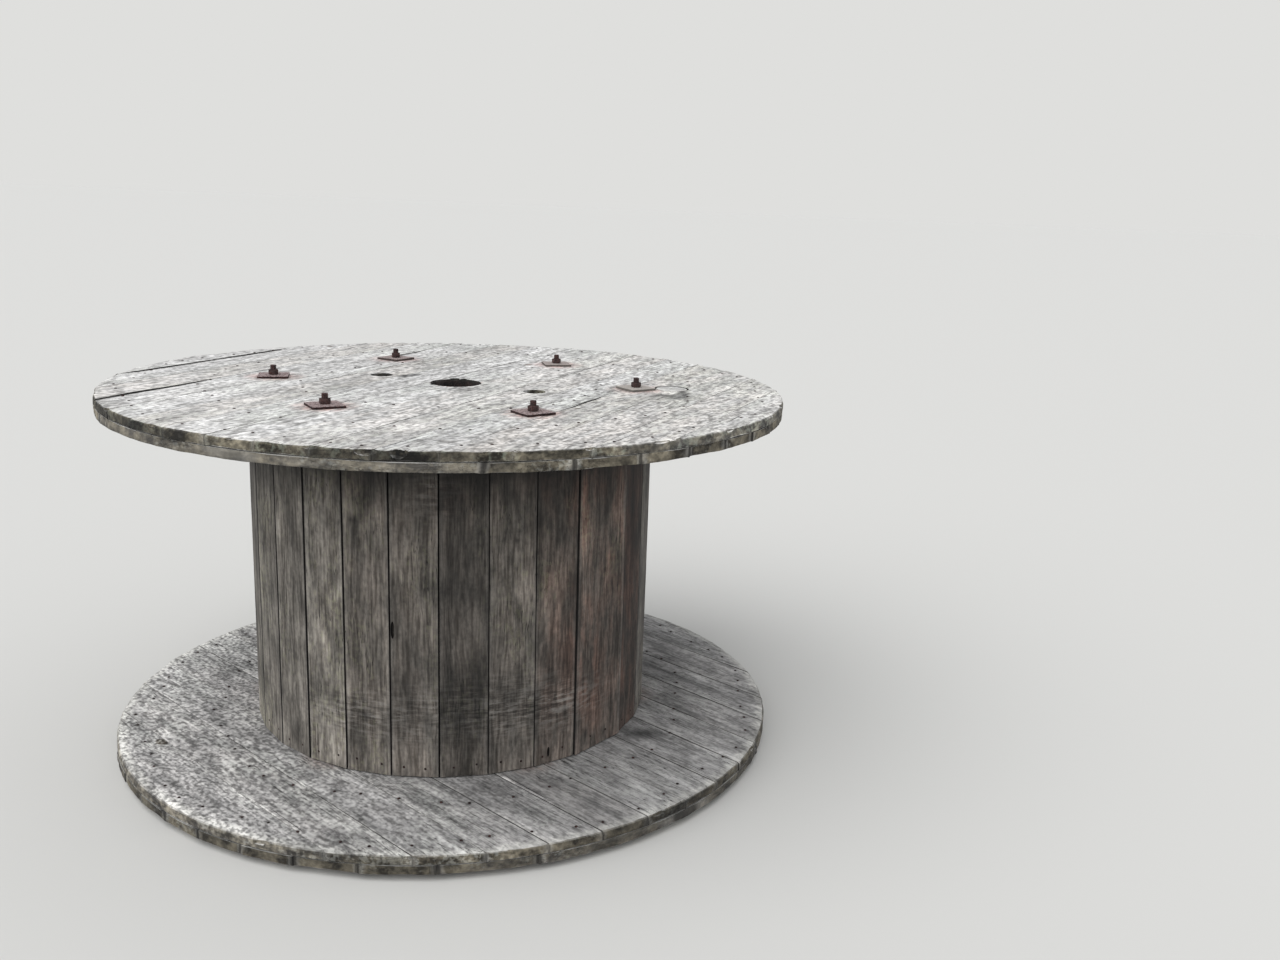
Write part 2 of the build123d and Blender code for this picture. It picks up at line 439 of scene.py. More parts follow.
    # the rim is darker, because cut ends drink water and dirt: olive and brown blotches, split upright
    endPlace = addNode(
        tree, "ShaderNodeMapping", {"Scale": [1000 / mm for mm in woodShared["endMm"]]}, {"Vector": place}
    )
    endNoise = addNode(
        tree, "ShaderNodeTexNoise", {"Scale": 1.0, "Detail": 5.0, "Roughness": 0.68}, {"Vector": endPlace}
    )
    endWood = addNode(
        tree, "ShaderNodeValToRGB", {"ramp": ((0.4, look["endDark"]), (0.6, look["endLight"]))}, {0: endNoise}
    )
    wallWood = addNode(
        tree, "ShaderNodeMath", {"operation": "MULTIPLY", 1: woodShared["endOnWall"]}, {0: wallHere}
    )
    cutHere = addNode(tree, "ShaderNodeMath", {"operation": "MAXIMUM"}, {0: wallWood, 1: endHere})
    sawn = addNode(
        tree, "ShaderNodeMix", {"data_type": "RGBA"}, {0: cutHere, 6: browned, 7: endWood}, output=2
    )
    knotted = addNode(
        tree, "ShaderNodeMix", {"data_type": "RGBA", 7: toLinear(look["knot"])}, {0: knot, 6: sawn}, output=2
    )

    # worn places are paler, at the rim and where something has rubbed
    fromAbove = addNode(tree, "ShaderNodeVectorMath", {"operation": "MULTIPLY", 1: (1, 1, 0)}, {0: place})
    radius = addNode(tree, "ShaderNodeVectorMath", {"operation": "LENGTH"}, {0: fromAbove}, output="Value")
    ragged = addNode(
        tree, "ShaderNodeMath", {"operation": "MULTIPLY_ADD", 1: woodShared["rimRagged"]},
        {0: pattern["fleck"], 2: radius},
    )
    rimWear = addNode(tree, "ShaderNodeMapRange", band("rimWear", full=look["rimWear"]), {"Value": ragged})
    flat = addNode(tree, "ShaderNodeMath", {"operation": "SUBTRACT", 0: 1.0}, {1: wallHere})
    rimOnly = addNode(tree, "ShaderNodeMath", {"operation": "MULTIPLY"}, {0: rimWear, 1: flat})
    rubbed = addNode(
        tree, "ShaderNodeMapRange", band("rubbed", full=woodShared["rubShare"]), {"Value": pattern["scuff"]}
    )
    scuffs = addNode(tree, "ShaderNodeMath", {"operation": "MULTIPLY"}, {0: rubbed, 1: wearHere})
    wear = addNode(tree, "ShaderNodeMath", {"operation": "MAXIMUM"}, {0: rimOnly, 1: scuffs})
    worn = addNode(
        tree, "ShaderNodeMix", {"data_type": "RGBA", 7: toLinear(look["worn"])},
        {0: wear, 6: knotted}, output=2,
    )

    # lichen and green film come in patches
    mossField = addNode(
        tree, "ShaderNodeMath", {"operation": "MULTIPLY"}, {0: pattern["speck"], 1: pattern["patch"]}
    )
    mossSpread = addNode(
        tree, "ShaderNodeMath", {"operation": "MULTIPLY_ADD", 1: woodShared["mossGrip"]},
        {0: mossHere, 2: mossField},
    )
    moss = addNode(tree, "ShaderNodeMapRange", band("moss", full=look["mossShare"]), {"Value": mossSpread})
    mossy = addNode(
        tree, "ShaderNodeMix", {"data_type": "RGBA", 7: toLinear(look["moss"])}, {0: moss, 6: worn}, output=2
    )

    # rust that the rain has washed out of the bolts, and the black stain that iron makes in wet wood
    rustBreak = addNode(tree, "ShaderNodeMapRange", band("rust"), {"Value": pattern["fleck"]})
    rust = addNode(tree, "ShaderNodeMath", {"operation": "MULTIPLY"}, {0: rustHere, 1: rustBreak})
    stained = addNode(
        tree, "ShaderNodeMix", {"data_type": "RGBA", 7: toLinear(look["rust"])}, {0: rust, 6: mossy}, output=2
    )
    if look["nails"] > 0:
        iron = ironStain(tree, place, radius, pattern["fleck"], look["nails"])
        ironFlat = addNode(tree, "ShaderNodeMath", {"operation": "MULTIPLY"}, {0: iron, 1: flat})
        stained = addNode(
            tree, "ShaderNodeMix", {"data_type": "RGBA", 7: toLinear(woodShared["ironBlack"])},
            {0: ironFlat, 6: stained}, output=2,
        )

    # drying cracks open where the noise passes its middle value
    crackSide = addNode(tree, "ShaderNodeMath", {"operation": "SUBTRACT", 1: 0.5}, {0: pattern["check"]})
    crackGap = addNode(tree, "ShaderNodeMath", {"operation": "ABSOLUTE"}, {0: crackSide})
    crackLine = addNode(
        tree, "ShaderNodeMapRange", {"From Min": look["crackWidth"], "From Max": 0.0}, {"Value": crackGap}
    )
    crackWhere = addNode(tree, "ShaderNodeMapRange", band("cracked"), {"Value": pattern["patch"]})
    crack = addNode(tree, "ShaderNodeMath", {"operation": "MULTIPLY"}, {0: crackLine, 1: crackWhere})

    # dirt sits in the seams between boards, and the wood beside it is worn pale
    seamEdge = addNode(
        tree, "ShaderNodeMath", {"operation": "MULTIPLY_ADD", 1: woodShared["seamRagged"]},
        {0: pattern["streak"], 2: seamHere},
    )
    seamDirt = addNode(
        tree, "ShaderNodeMapRange", band("seamDirt", full=look["seamDirt"]), {"Value": seamEdge}
    )
    lip = addNode(tree, "ShaderNodeMapRange", band("lip", full=woodShared["lipShare"]), {"Value": seamEdge})
    lipped = addNode(
        tree, "ShaderNodeMix", {"data_type": "RGBA", 7: toLinear(look["worn"])},
        {0: lip, 6: stained}, output=2,
    )
    gap = addNode(tree, "ShaderNodeMath", {"operation": "MAXIMUM"}, {0: crack, 1: seamDirt})
    cracked = addNode(
        tree, "ShaderNodeMix", {"data_type": "RGBA", 7: toLinear(look["crack"])},
        {0: gap, 6: lipped}, output=2,
    )

    # each board has its own tone, dirt darkens it in patches, rim walls stay darker, and walls inside holes,
    # splits and gaps get painted shade
    dirt = addNode(
        tree, "ShaderNodeMapRange", band("dirt", none=look["patchLow"], full=1.0),
        {"Value": pattern["patch"]},
    )
    level = addNode(tree, "ShaderNodeMath", {"operation": "MULTIPLY_ADD"}, {0: dirt, 1: tone, 2: dirt})
    wallLevel = addNode(
        tree, "ShaderNodeMapRange", {"To Min": 1.0, "To Max": look["wallDark"]}, {"Value": wallHere}
    )
    # painted shade: walls inside holes and splits, and the sides in the gaps between boards and staves, fall
    # nearly to black
    gapShadeLevel = addNode(
        tree, "ShaderNodeMapRange", {"To Min": 1.0, "To Max": woodShared["gapShadeDark"]}, {"Value": gapShadeHere}
    )
    wallTone = addNode(tree, "ShaderNodeMath", {"operation": "MULTIPLY"}, {0: level, 1: wallLevel})
    gapShadedTone = addNode(tree, "ShaderNodeMath", {"operation": "MULTIPLY"}, {0: wallTone, 1: gapShadeLevel})
    bothGrits = addNode(
        tree, "ShaderNodeMath", {"operation": "MULTIPLY_ADD", 1: 0.35},
        {0: pattern["fleck"], 2: pattern["speck"]},
    )
    grit = addNode(tree, "ShaderNodeMapRange", band("grit", none=-1.0, full=1.0), {"Value": bothGrits})
    gritShare = addNode(
        tree, "ShaderNodeMath", {"operation": "MULTIPLY_ADD", 1: look["lichenShare"], 2: look["gritShare"]},
        {0: mossHere},
    )
    gritLevel = addNode(
        tree, "ShaderNodeMath", {"operation": "MULTIPLY_ADD", 2: 1.0}, {0: grit, 1: gritShare}
    )
    gritTone = addNode(tree, "ShaderNodeMath", {"operation": "MULTIPLY"}, {0: gapShadedTone, 1: gritLevel})
    smudgeLevel = addNode(
        tree, "ShaderNodeMapRange",
        band("smudge", none=1 - look["smudgeShare"], full=1 + look["smudgeShare"]),
        {"Value": pattern["smudge"]},
    )
    smudgeTone = addNode(tree, "ShaderNodeMath", {"operation": "MULTIPLY"}, {0: gritTone, 1: smudgeLevel})
    grime = addNode(
        tree, "ShaderNodeMapRange", band("grime", full=-woodShared["grimeShare"]), {"Value": pattern["scuff"]}
    )
    grimeLevel = addNode(
        tree, "ShaderNodeMath", {"operation": "MULTIPLY_ADD", 2: 1.0}, {0: grime, 1: wearHere}
    )
    fullTone = addNode(tree, "ShaderNodeMath", {"operation": "MULTIPLY"}, {0: smudgeTone, 1: grimeLevel})
    colour = addNode(
        tree, "ShaderNodeVectorMath", {"operation": "SCALE"}, {0: cracked, "Scale": fullTone}
    )

    ringRelief = addNode(tree, "ShaderNodeMath", {"operation": "MULTIPLY_ADD", 1: 0.2}, {0: ring, 2: shade})
    fleckRelief = addNode(
        tree, "ShaderNodeMath", {"operation": "MULTIPLY_ADD", 1: 0.5}, {0: pattern["fleck"], 2: ringRelief}
    )
    speckRelief = addNode(
        tree, "ShaderNodeMath", {"operation": "MULTIPLY_ADD", 1: 0.5}, {0: pattern["speck"], 2: fleckRelief}
    )
    relief = addNode(tree, "ShaderNodeMath", {"operation": "SUBTRACT"}, {0: speckRelief, 1: gap})
    bump = addNode(
        tree, "ShaderNodeBump", {"Strength": woodShared["bumpStrength"], "Distance": look["reliefMm"] / 1000},
        {"Height": relief},
    )
    surface = addNode(
        tree, "ShaderNodeBsdfPrincipled", {"Roughness": look["roughness"], "IOR": 1.5},
        {"Base Color": colour, "Normal": bump},
    )
    addNode(tree, "ShaderNodeOutputMaterial", {}, {"Surface": surface})
    return material


rustLook = {  # hot-rolled mild steel left in the rain: dark brown scale, redder where it blooms, with pits
    "scaleMm": 9, "pitMm": 2.5, "dark": "#221514", "middle": "#3d2725", "bloom": "#603f39",
    "dust": "#b3a2a1", "wash": "#a5a19a", "roughness": 0.92, "reliefMm": 0.5,
}


def rustySteel(name, darkness, dustShare):
    material = bpy.data.materials.new(name)
    material.use_nodes = True
    tree = material.node_tree
    tree.nodes.clear()
    place = addNode(tree, "ShaderNodeTexCoord", output="Object")
    scale = addNode(
        tree, "ShaderNodeTexNoise", {"Scale": 1000 / rustLook["scaleMm"], "Detail": 5.0, "Roughness": 0.65},
        {"Vector": place},
    )
    pits = addNode(
        tree, "ShaderNodeTexNoise", {"Scale": 1000 / rustLook["pitMm"], "Detail": 3.0}, {"Vector": place}
    )
    colour = addNode(
        tree, "ShaderNodeValToRGB",
        {"ramp": ((0.36, rustLook["dark"]), (0.66, rustLook["bloom"]), (0.5, rustLook["middle"]))},
        {0: scale},
    )
    dustHere = addNode(tree, "ShaderNodeMapRange", band("rustDust", full=dustShare), {"Value": pits})
    marks = addNode(tree, "ShaderNodeAttribute", {"attribute_name": "plateMarks"}, output="Vector")
    edgeHere = addNode(tree, "ShaderNodeSeparateXYZ", {}, {0: marks})  # x edge faces, painted darker as shade and kept free of dust, y grey wash
    flat = addNode(tree, "ShaderNodeMath", {"operation": "SUBTRACT", 0: 1.0}, {1: edgeHere})
    dustShown = addNode(tree, "ShaderNodeMath", {"operation": "MULTIPLY"}, {0: dustHere, 1: flat})
    rusty = addNode(
        tree, "ShaderNodeMix", {"data_type": "RGBA", 7: toLinear(rustLook["dust"])},
        {0: dustShown, 6: colour}, output=2,
    )
    dusty = addNode(
        tree, "ShaderNodeMix", {"data_type": "RGBA", 7: toLinear(rustLook["wash"])},
        {0: edgeHere.node.outputs["Y"], 6: rusty}, output=2,
    )
    # painted shade: the plate's steep edge faces are drawn at half the brightness
    levelAndSideShade = addNode(
        tree, "ShaderNodeMapRange", {"To Min": darkness, "To Max": 0.5 * darkness}, {"Value": edgeHere}
    )
    sideShaded = addNode(tree, "ShaderNodeVectorMath", {"operation": "SCALE"}, {0: dusty, "Scale": levelAndSideShade})
    relief = addNode(tree, "ShaderNodeMath", {"operation": "ADD"}, {0: scale, 1: pits})
    bump = addNode(
        tree, "ShaderNodeBump", {"Strength": 0.8, "Distance": rustLook["reliefMm"] / 1000}, {"Height": relief}
    )
    surface = addNode(
        tree, "ShaderNodeBsdfPrincipled", {"Roughness": rustLook["roughness"], "Metallic": 0.1},
        {"Base Color": sideShaded, "Normal": bump},
    )
    addNode(tree, "ShaderNodeOutputMaterial", {}, {"Surface": surface})
    return material


materials = {name: weatheredWood(name) for name in woodLooks}
materials["rustedPlate"] = rustySteel("rustedPlate", 1.1, 0.8)  # dusted pink-grey, as it lies flat
materials["rustedBolt"] = rustySteel("rustedBolt", 0.8, 0.1)  # brown, with hardly any dust on its steep sides
materials["rustedNail"] = rustySteel("rustedNail", 0.5, 0.0)  # nearly black in the wet wood
print("materials made")


def finish(obj, material, nodeNames, smoothAngle=35):
    obj.data.materials.clear()
    obj.data.materials.append(materials[material])
    pick(obj)
    bpy.ops.object.shade_smooth_by_angle(angle=math.radians(smoothAngle))
    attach(obj, "root")
    if nodeNames:
        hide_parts(*nodeNames)


# grain coordinates and marks, kept as attributes of the mesh

# the cut marks hold end grain, rim walls and the painted shade on walls inside holes, splits and gaps
cutAndShadeSettings = {  # lengths in metres; the pairs say from which slope of a face it counts, and over what span
    "endGrain": (0.25, 0.35), "wall": (0.75, 0.4), "roundedWall": (0.93, 0.35),
    "rimReach": 0.012, "jointReach": 0.003, "jointShade": 0.12,
    "tornRadius": 0.09, "tornFrom": 0.0032, "tornTo": 0.03,  # round the bore, below the top face
    "biteReach": 1.15,
}
lessShadedHole = {"x": 0.207, "y": -0.132, "radius": 0.045, "share": 0.55}  # this drive hole's walls get less painted shade, so it shows grey


def writeMarks(obj, name, columns, domain="POINT"):
    rows = obj.data.vertices if domain == "POINT" else obj.data.polygons
    spread = np.broadcast_arrays(*columns, np.zeros(len(rows)))[:3]
    values = np.stack(spread, 1).astype(np.float32)
    obj.data.attributes.new(name, "FLOAT_VECTOR", domain).data.foreach_set("vector", values.ravel())


def writeCutsAndShade(obj, alongBoard, upwards, rimRadius=None, seat=None, bites=()):
    normals, centres = (readAll(obj.data.polygons, what) for what in ("normal", "center"))
    x, y, z = centres.T
    steep = np.abs(normals @ np.array(upwards))
    endFrom, endSpan = cutAndShadeSettings["endGrain"]
    wallFrom, wallSpan = cutAndShadeSettings["wall"]
    endGrain = np.clip((np.abs(normals @ np.array(alongBoard)) - endFrom) / endSpan, 0, 1)
    upright = np.clip((wallFrom - steep) / wallSpan, 0, 1)
    # upright faces away from the rim get painted shade: the walls of holes and splits, and the sides in the
    # gaps between boards and staves
    wall, inner = np.zeros(len(normals)), upright
    if rimRadius:
        far = np.hypot(x, y)
        outwards = normals[:, 0] * x + normals[:, 1] * y
        atRim = (far > rimRadius - cutAndShadeSettings["rimReach"]) & (outwards > 0.5 * rimRadius)
        joint = np.abs(z - seat) < cutAndShadeSettings["jointReach"]  # the joint between the plies takes the rim wall's colour and painted shade
        roundedFrom, roundedSpan = cutAndShadeSettings["roundedWall"]
        wall = np.maximum(np.clip((roundedFrom - steep) / roundedSpan, 0, 1), joint) * atRim
        inHole = np.hypot(x - lessShadedHole["x"], y - lessShadedHole["y"]) < lessShadedHole["radius"]
        inner = upright * ~atRim * (1 - inHole * lessShadedHole["share"])
        inner = np.maximum(inner, cutAndShadeSettings["jointShade"] * joint)
        # the walls round the bore, below the top face, get the painted shade in full
        torn = (far < cutAndShadeSettings["tornRadius"]) & (np.abs(z - topLevel) > cutAndShadeSettings["tornFrom"])
        torn &= z > topLevel - cutAndShadeSettings["tornTo"]
        inner = np.where(torn & ~atRim, 1, inner)
        # faces broken out of the rim take the rim wall's dark colour, which also paints shade into the hollow
        for turnedTo, height, halfLength, deep, halfHeight in bites:
            away = np.degrees(np.arctan2(y, x)) - turnedTo
            arc = np.radians((away + 180) % 360 - 180) * rimRadius * 1000 / halfLength
            inwards = (rimRadius - far) * 1000 / deep
            off = (z * 1000 - height) / halfHeight
            wall = np.where(arc ** 2 + inwards ** 2 + off ** 2 < cutAndShadeSettings["biteReach"], 1, wall)
    writeMarks(obj, "cutAndShadeMarks", (endGrain, wall, inner), "FACE")


def spotted(u, v, spots):  # soft spots added up: place u and v, half sizes, strength
    total = np.zeros(len(u))
    for atU, atV, halfU, halfV, strength in spots:
        total += strength * np.exp(-(((u - atU) / halfU) ** 2 + ((v - atV) / halfV) ** 2))
    return total


# a sawn board with worn arrises, dense enough on its show face to take the relief

def sawnBoard(name, length, width, thickness, cutsAlong, cutsAcross, arris):
    board = addShape("cube", size=1)
    board.name = name
    board.scale = (length, width, thickness)
    settle(board)
    bpy.ops.object.mode_set(mode="EDIT")
    markEdges(board, lambda a, b: abs(a.x - b.x) > length / 2)
    bpy.ops.mesh.bevel(offset=arris, segments=2, affect="EDGES")
    faceTop = thickness / 2 - arris / 10
    markEdges(board, lambda a, b: abs(a.y - b.y) > width / 2 and min(a.z, b.z) > faceTop)
    bpy.ops.mesh.subdivide(number_cuts=cutsAcross)
    markEdges(board, lambda a, b: abs(a.x - b.x) > length / 2)
    bpy.ops.mesh.subdivide(number_cuts=cutsAlong)
    bpy.ops.object.mode_set(mode="OBJECT")
    show = board.vertex_groups.new(name="showFace")
    show.add([v.index for v in board.data.vertices if v.co.z > faceTop - arris], 1.0, "REPLACE")
    return board


ridges = bpy.data.textures.new("ridges", "CLOUDS")  # grain standing proud after the soft wood has washed out
ridges.noise_scale = 1.0
ridges.noise_depth = 2
chips = bpy.data.textures.new("chips", "CLOUDS")  # bites and worn places along the rim
chips.noise_scale = 0.07
chips.noise_depth = 4
guide = bpy.data.objects.new("grainGuide", None)
bpy.context.collection.objects.link(guide)


def weather(board, place, turn, stretch, depth, direction="Z"):
    guide.location = [place[k] + dice.uniform(-5, 5) for k in range(3)]
    guide.rotation_euler = (0, 0, turn)
    guide.scale = stretch
    bpy.context.view_layer.update()
    applied(
        board, "DISPLACE", texture=ridges, texture_coords="OBJECT", texture_coords_object=guide,
        strength=depth, mid_level=1.0, direction=direction, vertex_group="showFace",
    )


# flange plies; their settings, beside those with a note of their own:
# alongMm and cutsAcross set how dense the show face is, ridgeMm and sinkMm how deep its grain and hollows are
# levelMm and shortMm are how far the boards differ in height and reach, chipMm how rough the rim is
# faceEdgeMm and seatEdgeMm round the rim off on the show face and where the plies meet
# toneSpread is how the boards differ in tone, lean and leanBack how the tone falls along x and y
# moss is how much there is in the middle and how it falls along x, seams how much dirt the seams hold

plies = {
    "upperOuterBoards": {
        "node": "upper_flange_outer_boards", "turn": 59.5, "faceUp": True, "wood": "bleachedSpruce",
        "alongMm": 13, "cutsAcross": 20, "ridgeMm": 1.7, "sinkMm": 1.0, "levelMm": 0.8, "arrisMm": 1.2,
        "faceEdgeMm": 9, "seatEdgeMm": 0.7, "shortMm": 2.5, "chipMm": 7, "toneSpread": 0.04, "lean": 0.0,
        "moss": (0.5, -0.6), "seamMm": 0.4, "seams": 0.45, "leanBack": 0.0,
        "spots": [
            (-144, 112, 15, 24, -1.1), (-116, 136, 15, 26, -0.9), (-340, -620, 160, 160, 0.18),
            (-220, -60, 160, 160, -0.2), (60, 740, 160, 160, -0.2), (-720, -200, 160, 160, 0.15),
            (540, 320, 160, 160, 0.14),
            (820, -160, 60, 120, 0.2), (-80, 340, 160, 160, -0.16), (-480, 580, 160, 160, -0.14),
            (-220, 640, 60, 120, 0.2), (500, -240, 60, 120, -0.22), (320, 600, 60, 120, 0.2),
            (-680, 240, 160, 160, -0.12), (20, -100, 50, 50, -0.4), (40, -280, 60, 120, 0.18),
            (-20, -820, 160, 160, -0.13), (-300, 800, 90, 90, -0.23), (-580, -100, 60, 120, 0.16),
            # the four dark spots round the plug's front and right are painted shade round a plug that seems
            # to stand proud; the pale spot widens its pale top
            (552, -172, 40, 26, -0.6), (582, -212, 40, 26, -0.6), (608, -155, 20, 32, -0.7),
            (614, -105, 16, 34, -0.7), (578, -118, 22, 24, 0.6),
        ],
        "dips": [  # along a seam: where it lies across the ply, from, to, depth in mm
            (561.2, -760, -300, 4.0), (808.8, -380, 330, 4.0), (-429.2, -230, 40, 2.5),
            (437.4, 330, 560, 2.5),
        ],
        "wallSpots": [  # darker and paler places of the rim: direction, half size in degrees, strength
            (-108, 2.5, -0.5), (-100, 4, -0.6), (-95, 3, -0.45), (-89, 2, -0.3), (-75, 1.5, -0.4),
            (-140, 3, -0.35), (-132, 2, -0.3), (-67, 3, 0.4), (-84, 3, 0.35), (-120, 5, 0.15),
            (-150, 22, -0.6), (30, 6, -0.4), (-45, 12, 0.3), (100, 5, -0.4), (160, 6, -0.3),
        ],
        "splits": [  # along the boards: from, to, width in mm
            (268, -376, 373, -219, 3.4), (-885, 80, -552, 636, 4.5), (-835, -304, -450, 306, 4.5),
            (-150, -870, -60, -720, 2.0), (330, -810, 400, -690, 1.6), (640, -560, 700, -455, 1.8),
            (-130, 102, -95, 160, 2.4), (90, 610, 190, 780, 1.8), (520, 260, 590, 380, 1.4),
        ],
        "tears": [(-4, 76, 15, 12, 11), (22, 72, 9, 9, 9), (-62, -30, 8, 9, 7)],  # x, y and half sizes in mm
        "bites": [  # direction in degrees, height, half length along the rim, depth, half height in mm
            (-108.6, 971, 26, 9, 9), (-101.2, 970, 28, 12, 14), (-97.2, 970, 20, 14, 18),
            (-135.5, 971, 20, 8, 10), (-121, 970, 30, 7, 5), (-82, 970, 24, 7, 5), (-60, 969, 28, 8, 6),
            (-45, 969, 22, 8, 6),
            (-150, 969, 24, 8, 6), (-165, 969, 30, 8, 6), (-72, 969, 14, 8, 7), (-20, 969, 26, 8, 6),
            (15, 969, 20, 7, 6), (48, 969, 28, 8, 6), (83, 969, 24, 7, 6), (120, 969, 30, 8, 6),
            (158, 969, 22, 8, 6),
        ],
    },
    "upperInnerBoards": {
        "node": "upper_flange_inner_boards", "turn": 149.5, "faceUp": False, "wood": "greySpruce",
        "alongMm": 26, "cutsAcross": 8, "ridgeMm": 1.4, "sinkMm": 1.0, "levelMm": 1.0, "arrisMm": 1.0,
        "faceEdgeMm": 4, "seatEdgeMm": 0.7, "shortMm": 2.5, "chipMm": 5, "toneSpread": 0.14, "lean": 0.0,
        "moss": (0, 0), "seamMm": 0.5, "seams": 1.0, "leanBack": 0.0, "spots": [], "splits": [], "bites": [],
        "dips": [],
        "wallSpots": [
            (-97, 6, 0.35), (-82, 5, 0.1), (-112, 6, 0.3), (-125, 6, 0.3), (-60, 6, 0.4), (-70, 5, 0.25),
            (-143, 9, 0.5), (-163, 12, 0.7),
        ],
    },
    "lowerInnerBoards": {
        "node": "lower_flange_inner_boards", "turn": 128.0, "faceUp": True, "wood": "greySpruce",
        "alongMm": 14, "cutsAcross": 18, "ridgeMm": 1.8, "sinkMm": 1.4, "levelMm": 1.0, "arrisMm": 1.6,
        "faceEdgeMm": 11, "seatEdgeMm": 1.0, "shortMm": 2.5, "chipMm": 6, "toneSpread": 0.12, "lean": 0.27,
        "moss": (0.42, 1.1), "seamMm": 0.5, "seams": 0.75, "leanBack": 0.08,
        "dips": [(-369.4, 380, 560, 2.5), (-245.6, 500, 700, 2.5), (125.8, 560, 840, 3.0)],
        "paleEdges": [(249.6, -684, -500, 1.1)],  # seam, from, to: fresh wood where the edge splintered
        "wallSpots": [(-125, 4, -0.4), (-100, 5, -0.2), (-52, 16, -0.62), (-85, 4, 0.1), (-100, 60, -0.14)],
        "spots": [  # x, y, half sizes in mm, strength; the dark ones near the barrel hold painted shade from the upper flange as well as dirt
            (-673, 174, 40, 40, -0.45), (-620, 240, 40, 40, -0.3), (-357, -495, 24, 20, -0.6),
            (59, -588, 60, 40, -0.3), (474, -430, 55, 35, 0.25), (500, -335, 60, 30, -0.5),
            (-560, -420, 160, 160, 0.1), (215, -600, 60, 45, -0.4), (255, -740, 60, 60, 0.15),
            (120, -640, 50, 50, -0.25), (380, -640, 90, 40, 0.15), (640, -131, 60, 90, -0.15),
            (-500, -550, 200, 200, 0.08), (-640, 220, 150, 180, -0.12), (660, 0, 150, 200, 0.16),
            (-260, -580, 110, 110, 0.4), (600, 160, 110, 110, -0.38), (-680, -220, 110, 110, 0.3),
            (240, -760, 110, 110, -0.3), (760, -240, 110, 110, 0.25), (840, 160, 110, 110, 0.28),
            (-720, -80, 60, 60, 0.35), (-220, -820, 110, 110, -0.26), (-680, 420, 110, 110, -0.22),
            (560, -60, 35, 35, 0.45), (600, 440, 40, 80, -0.42), (660, 40, 40, 80, -0.32),
            (-460, -560, 60, 60, 0.28), (-680, 20, 35, 35, 0.4), (180, -600, 35, 35, 0.4),
            (320, -520, 60, 60, 0.26), (380, -640, 110, 110, -0.14), (600, -520, 110, 110, 0.16),
            (600, -480, 60, 40, 0.2), (-100, -740, 80, 40, 0.15), (350, -520, 40, 50, -0.2),
            (-260, -560, 80, 30, -0.2),
        ],
        "splits": [
            (122, -542, 224, -679, 1.8), (531, -443, 640, -590, 1.6), (-430, -640, -330, -770, 1.6),
            (-250, 760, -160, 650, 1.6), (690, 180, 780, 60, 1.6),
        ],
        "bites": [(-118, 58, 26, 7, 6), (-96, 60, 20, 6, 5), (-58, 60, 24, 6, 5), (-30, 59, 20, 6, 5)],
    },
    "lowerOuterBoards": {
        "node": "lower_flange_outer_boards", "turn": 38.0, "faceUp": False, "wood": "greySpruce",
        "alongMm": 30, "cutsAcross": 6, "ridgeMm": 1.2, "sinkMm": 1.0, "levelMm": 1.0, "arrisMm": 1.0,
        "faceEdgeMm": 5, "seatEdgeMm": 1.4, "shortMm": 3.0, "chipMm": 6, "toneSpread": 0.14, "lean": 0.0,
        "moss": (0, 0), "seamMm": 0.5, "seams": 1.0, "leanBack": 0.0, "spots": [], "splits": [], "bites": [],
        "dips": [],
        "wallSpots": [
            (-100, 70, -0.3), (-97, 4, 0.15), (-80, 5, -0.15), (-120, 6, 0.15), (-62, 10, -0.3),
        ],
    },
}
plyShared = {  # the same for all four plies, lengths in metres
    "spare": 0.04, "ridges": (0.22, 0.012, 1), "sinks": (0.9, 0.09, 1),
    "past": 0.01, "mouthDeep": 0.008, "mouthWear": 0.004, "plugGap": 0.001, "plugMouthWear": 0.003,
    "chipReach": 0.0125, "chipLevel": 0.72, "seamClear": 0.0015, "seamReach": 0.008, "cup": 0.06,
    "slide": 9, "pithBeside": 0.04, "pithBelow": (0.03, 0.09), "brownMost": 0.3,
    "flangeShadeAndWeather": {0.6: -0.1, 0.65: -0.04, 0.75: -0.02, 0.8: 0.1, 0.85: 0.16},  # distance and tone: near the barrel painted shade from the upper flange and dirt, further out bleaching
    "splinterMm": (3, 5), "rustReach": 0.07, "rustPeak": 1.3, "boreRust": 0.9, "boreRustRadius": 0.069,
    "mossLeast": 0.1, "mossOnSeam": 0.6,
}


def boardEdges(node, turn):  # both edges of every board across the ply, from the node's own loose solids
    source = copyOf(nodes[node], "boardProbe")
    pick(source)
    bpy.ops.object.mode_set(mode="EDIT")
    bpy.ops.mesh.select_all(action="SELECT")
    bpy.ops.mesh.remove_doubles(threshold=0.00001)
    bpy.ops.mesh.separate(type="LOOSE")
    bpy.ops.object.mode_set(mode="OBJECT")
    strips = []
    for part in list(bpy.context.selected_objects):
        co = points(part)
        across = alongAndAcross(co[:, 0], co[:, 1], turn)[1]
        strips.append((across.min(), across.max()))
        bpy.data.objects.remove(part, do_unlink=True)
    strips.sort()
    merged = []
    for low, high in strips:  # the bore cuts one board in two, and both halves are the same strip
        if merged and low < merged[-1][1]:
            merged[-1] = (min(merged[-1][0], low), max(merged[-1][1], high))
        else:
            merged.append((low, high))
    return merged


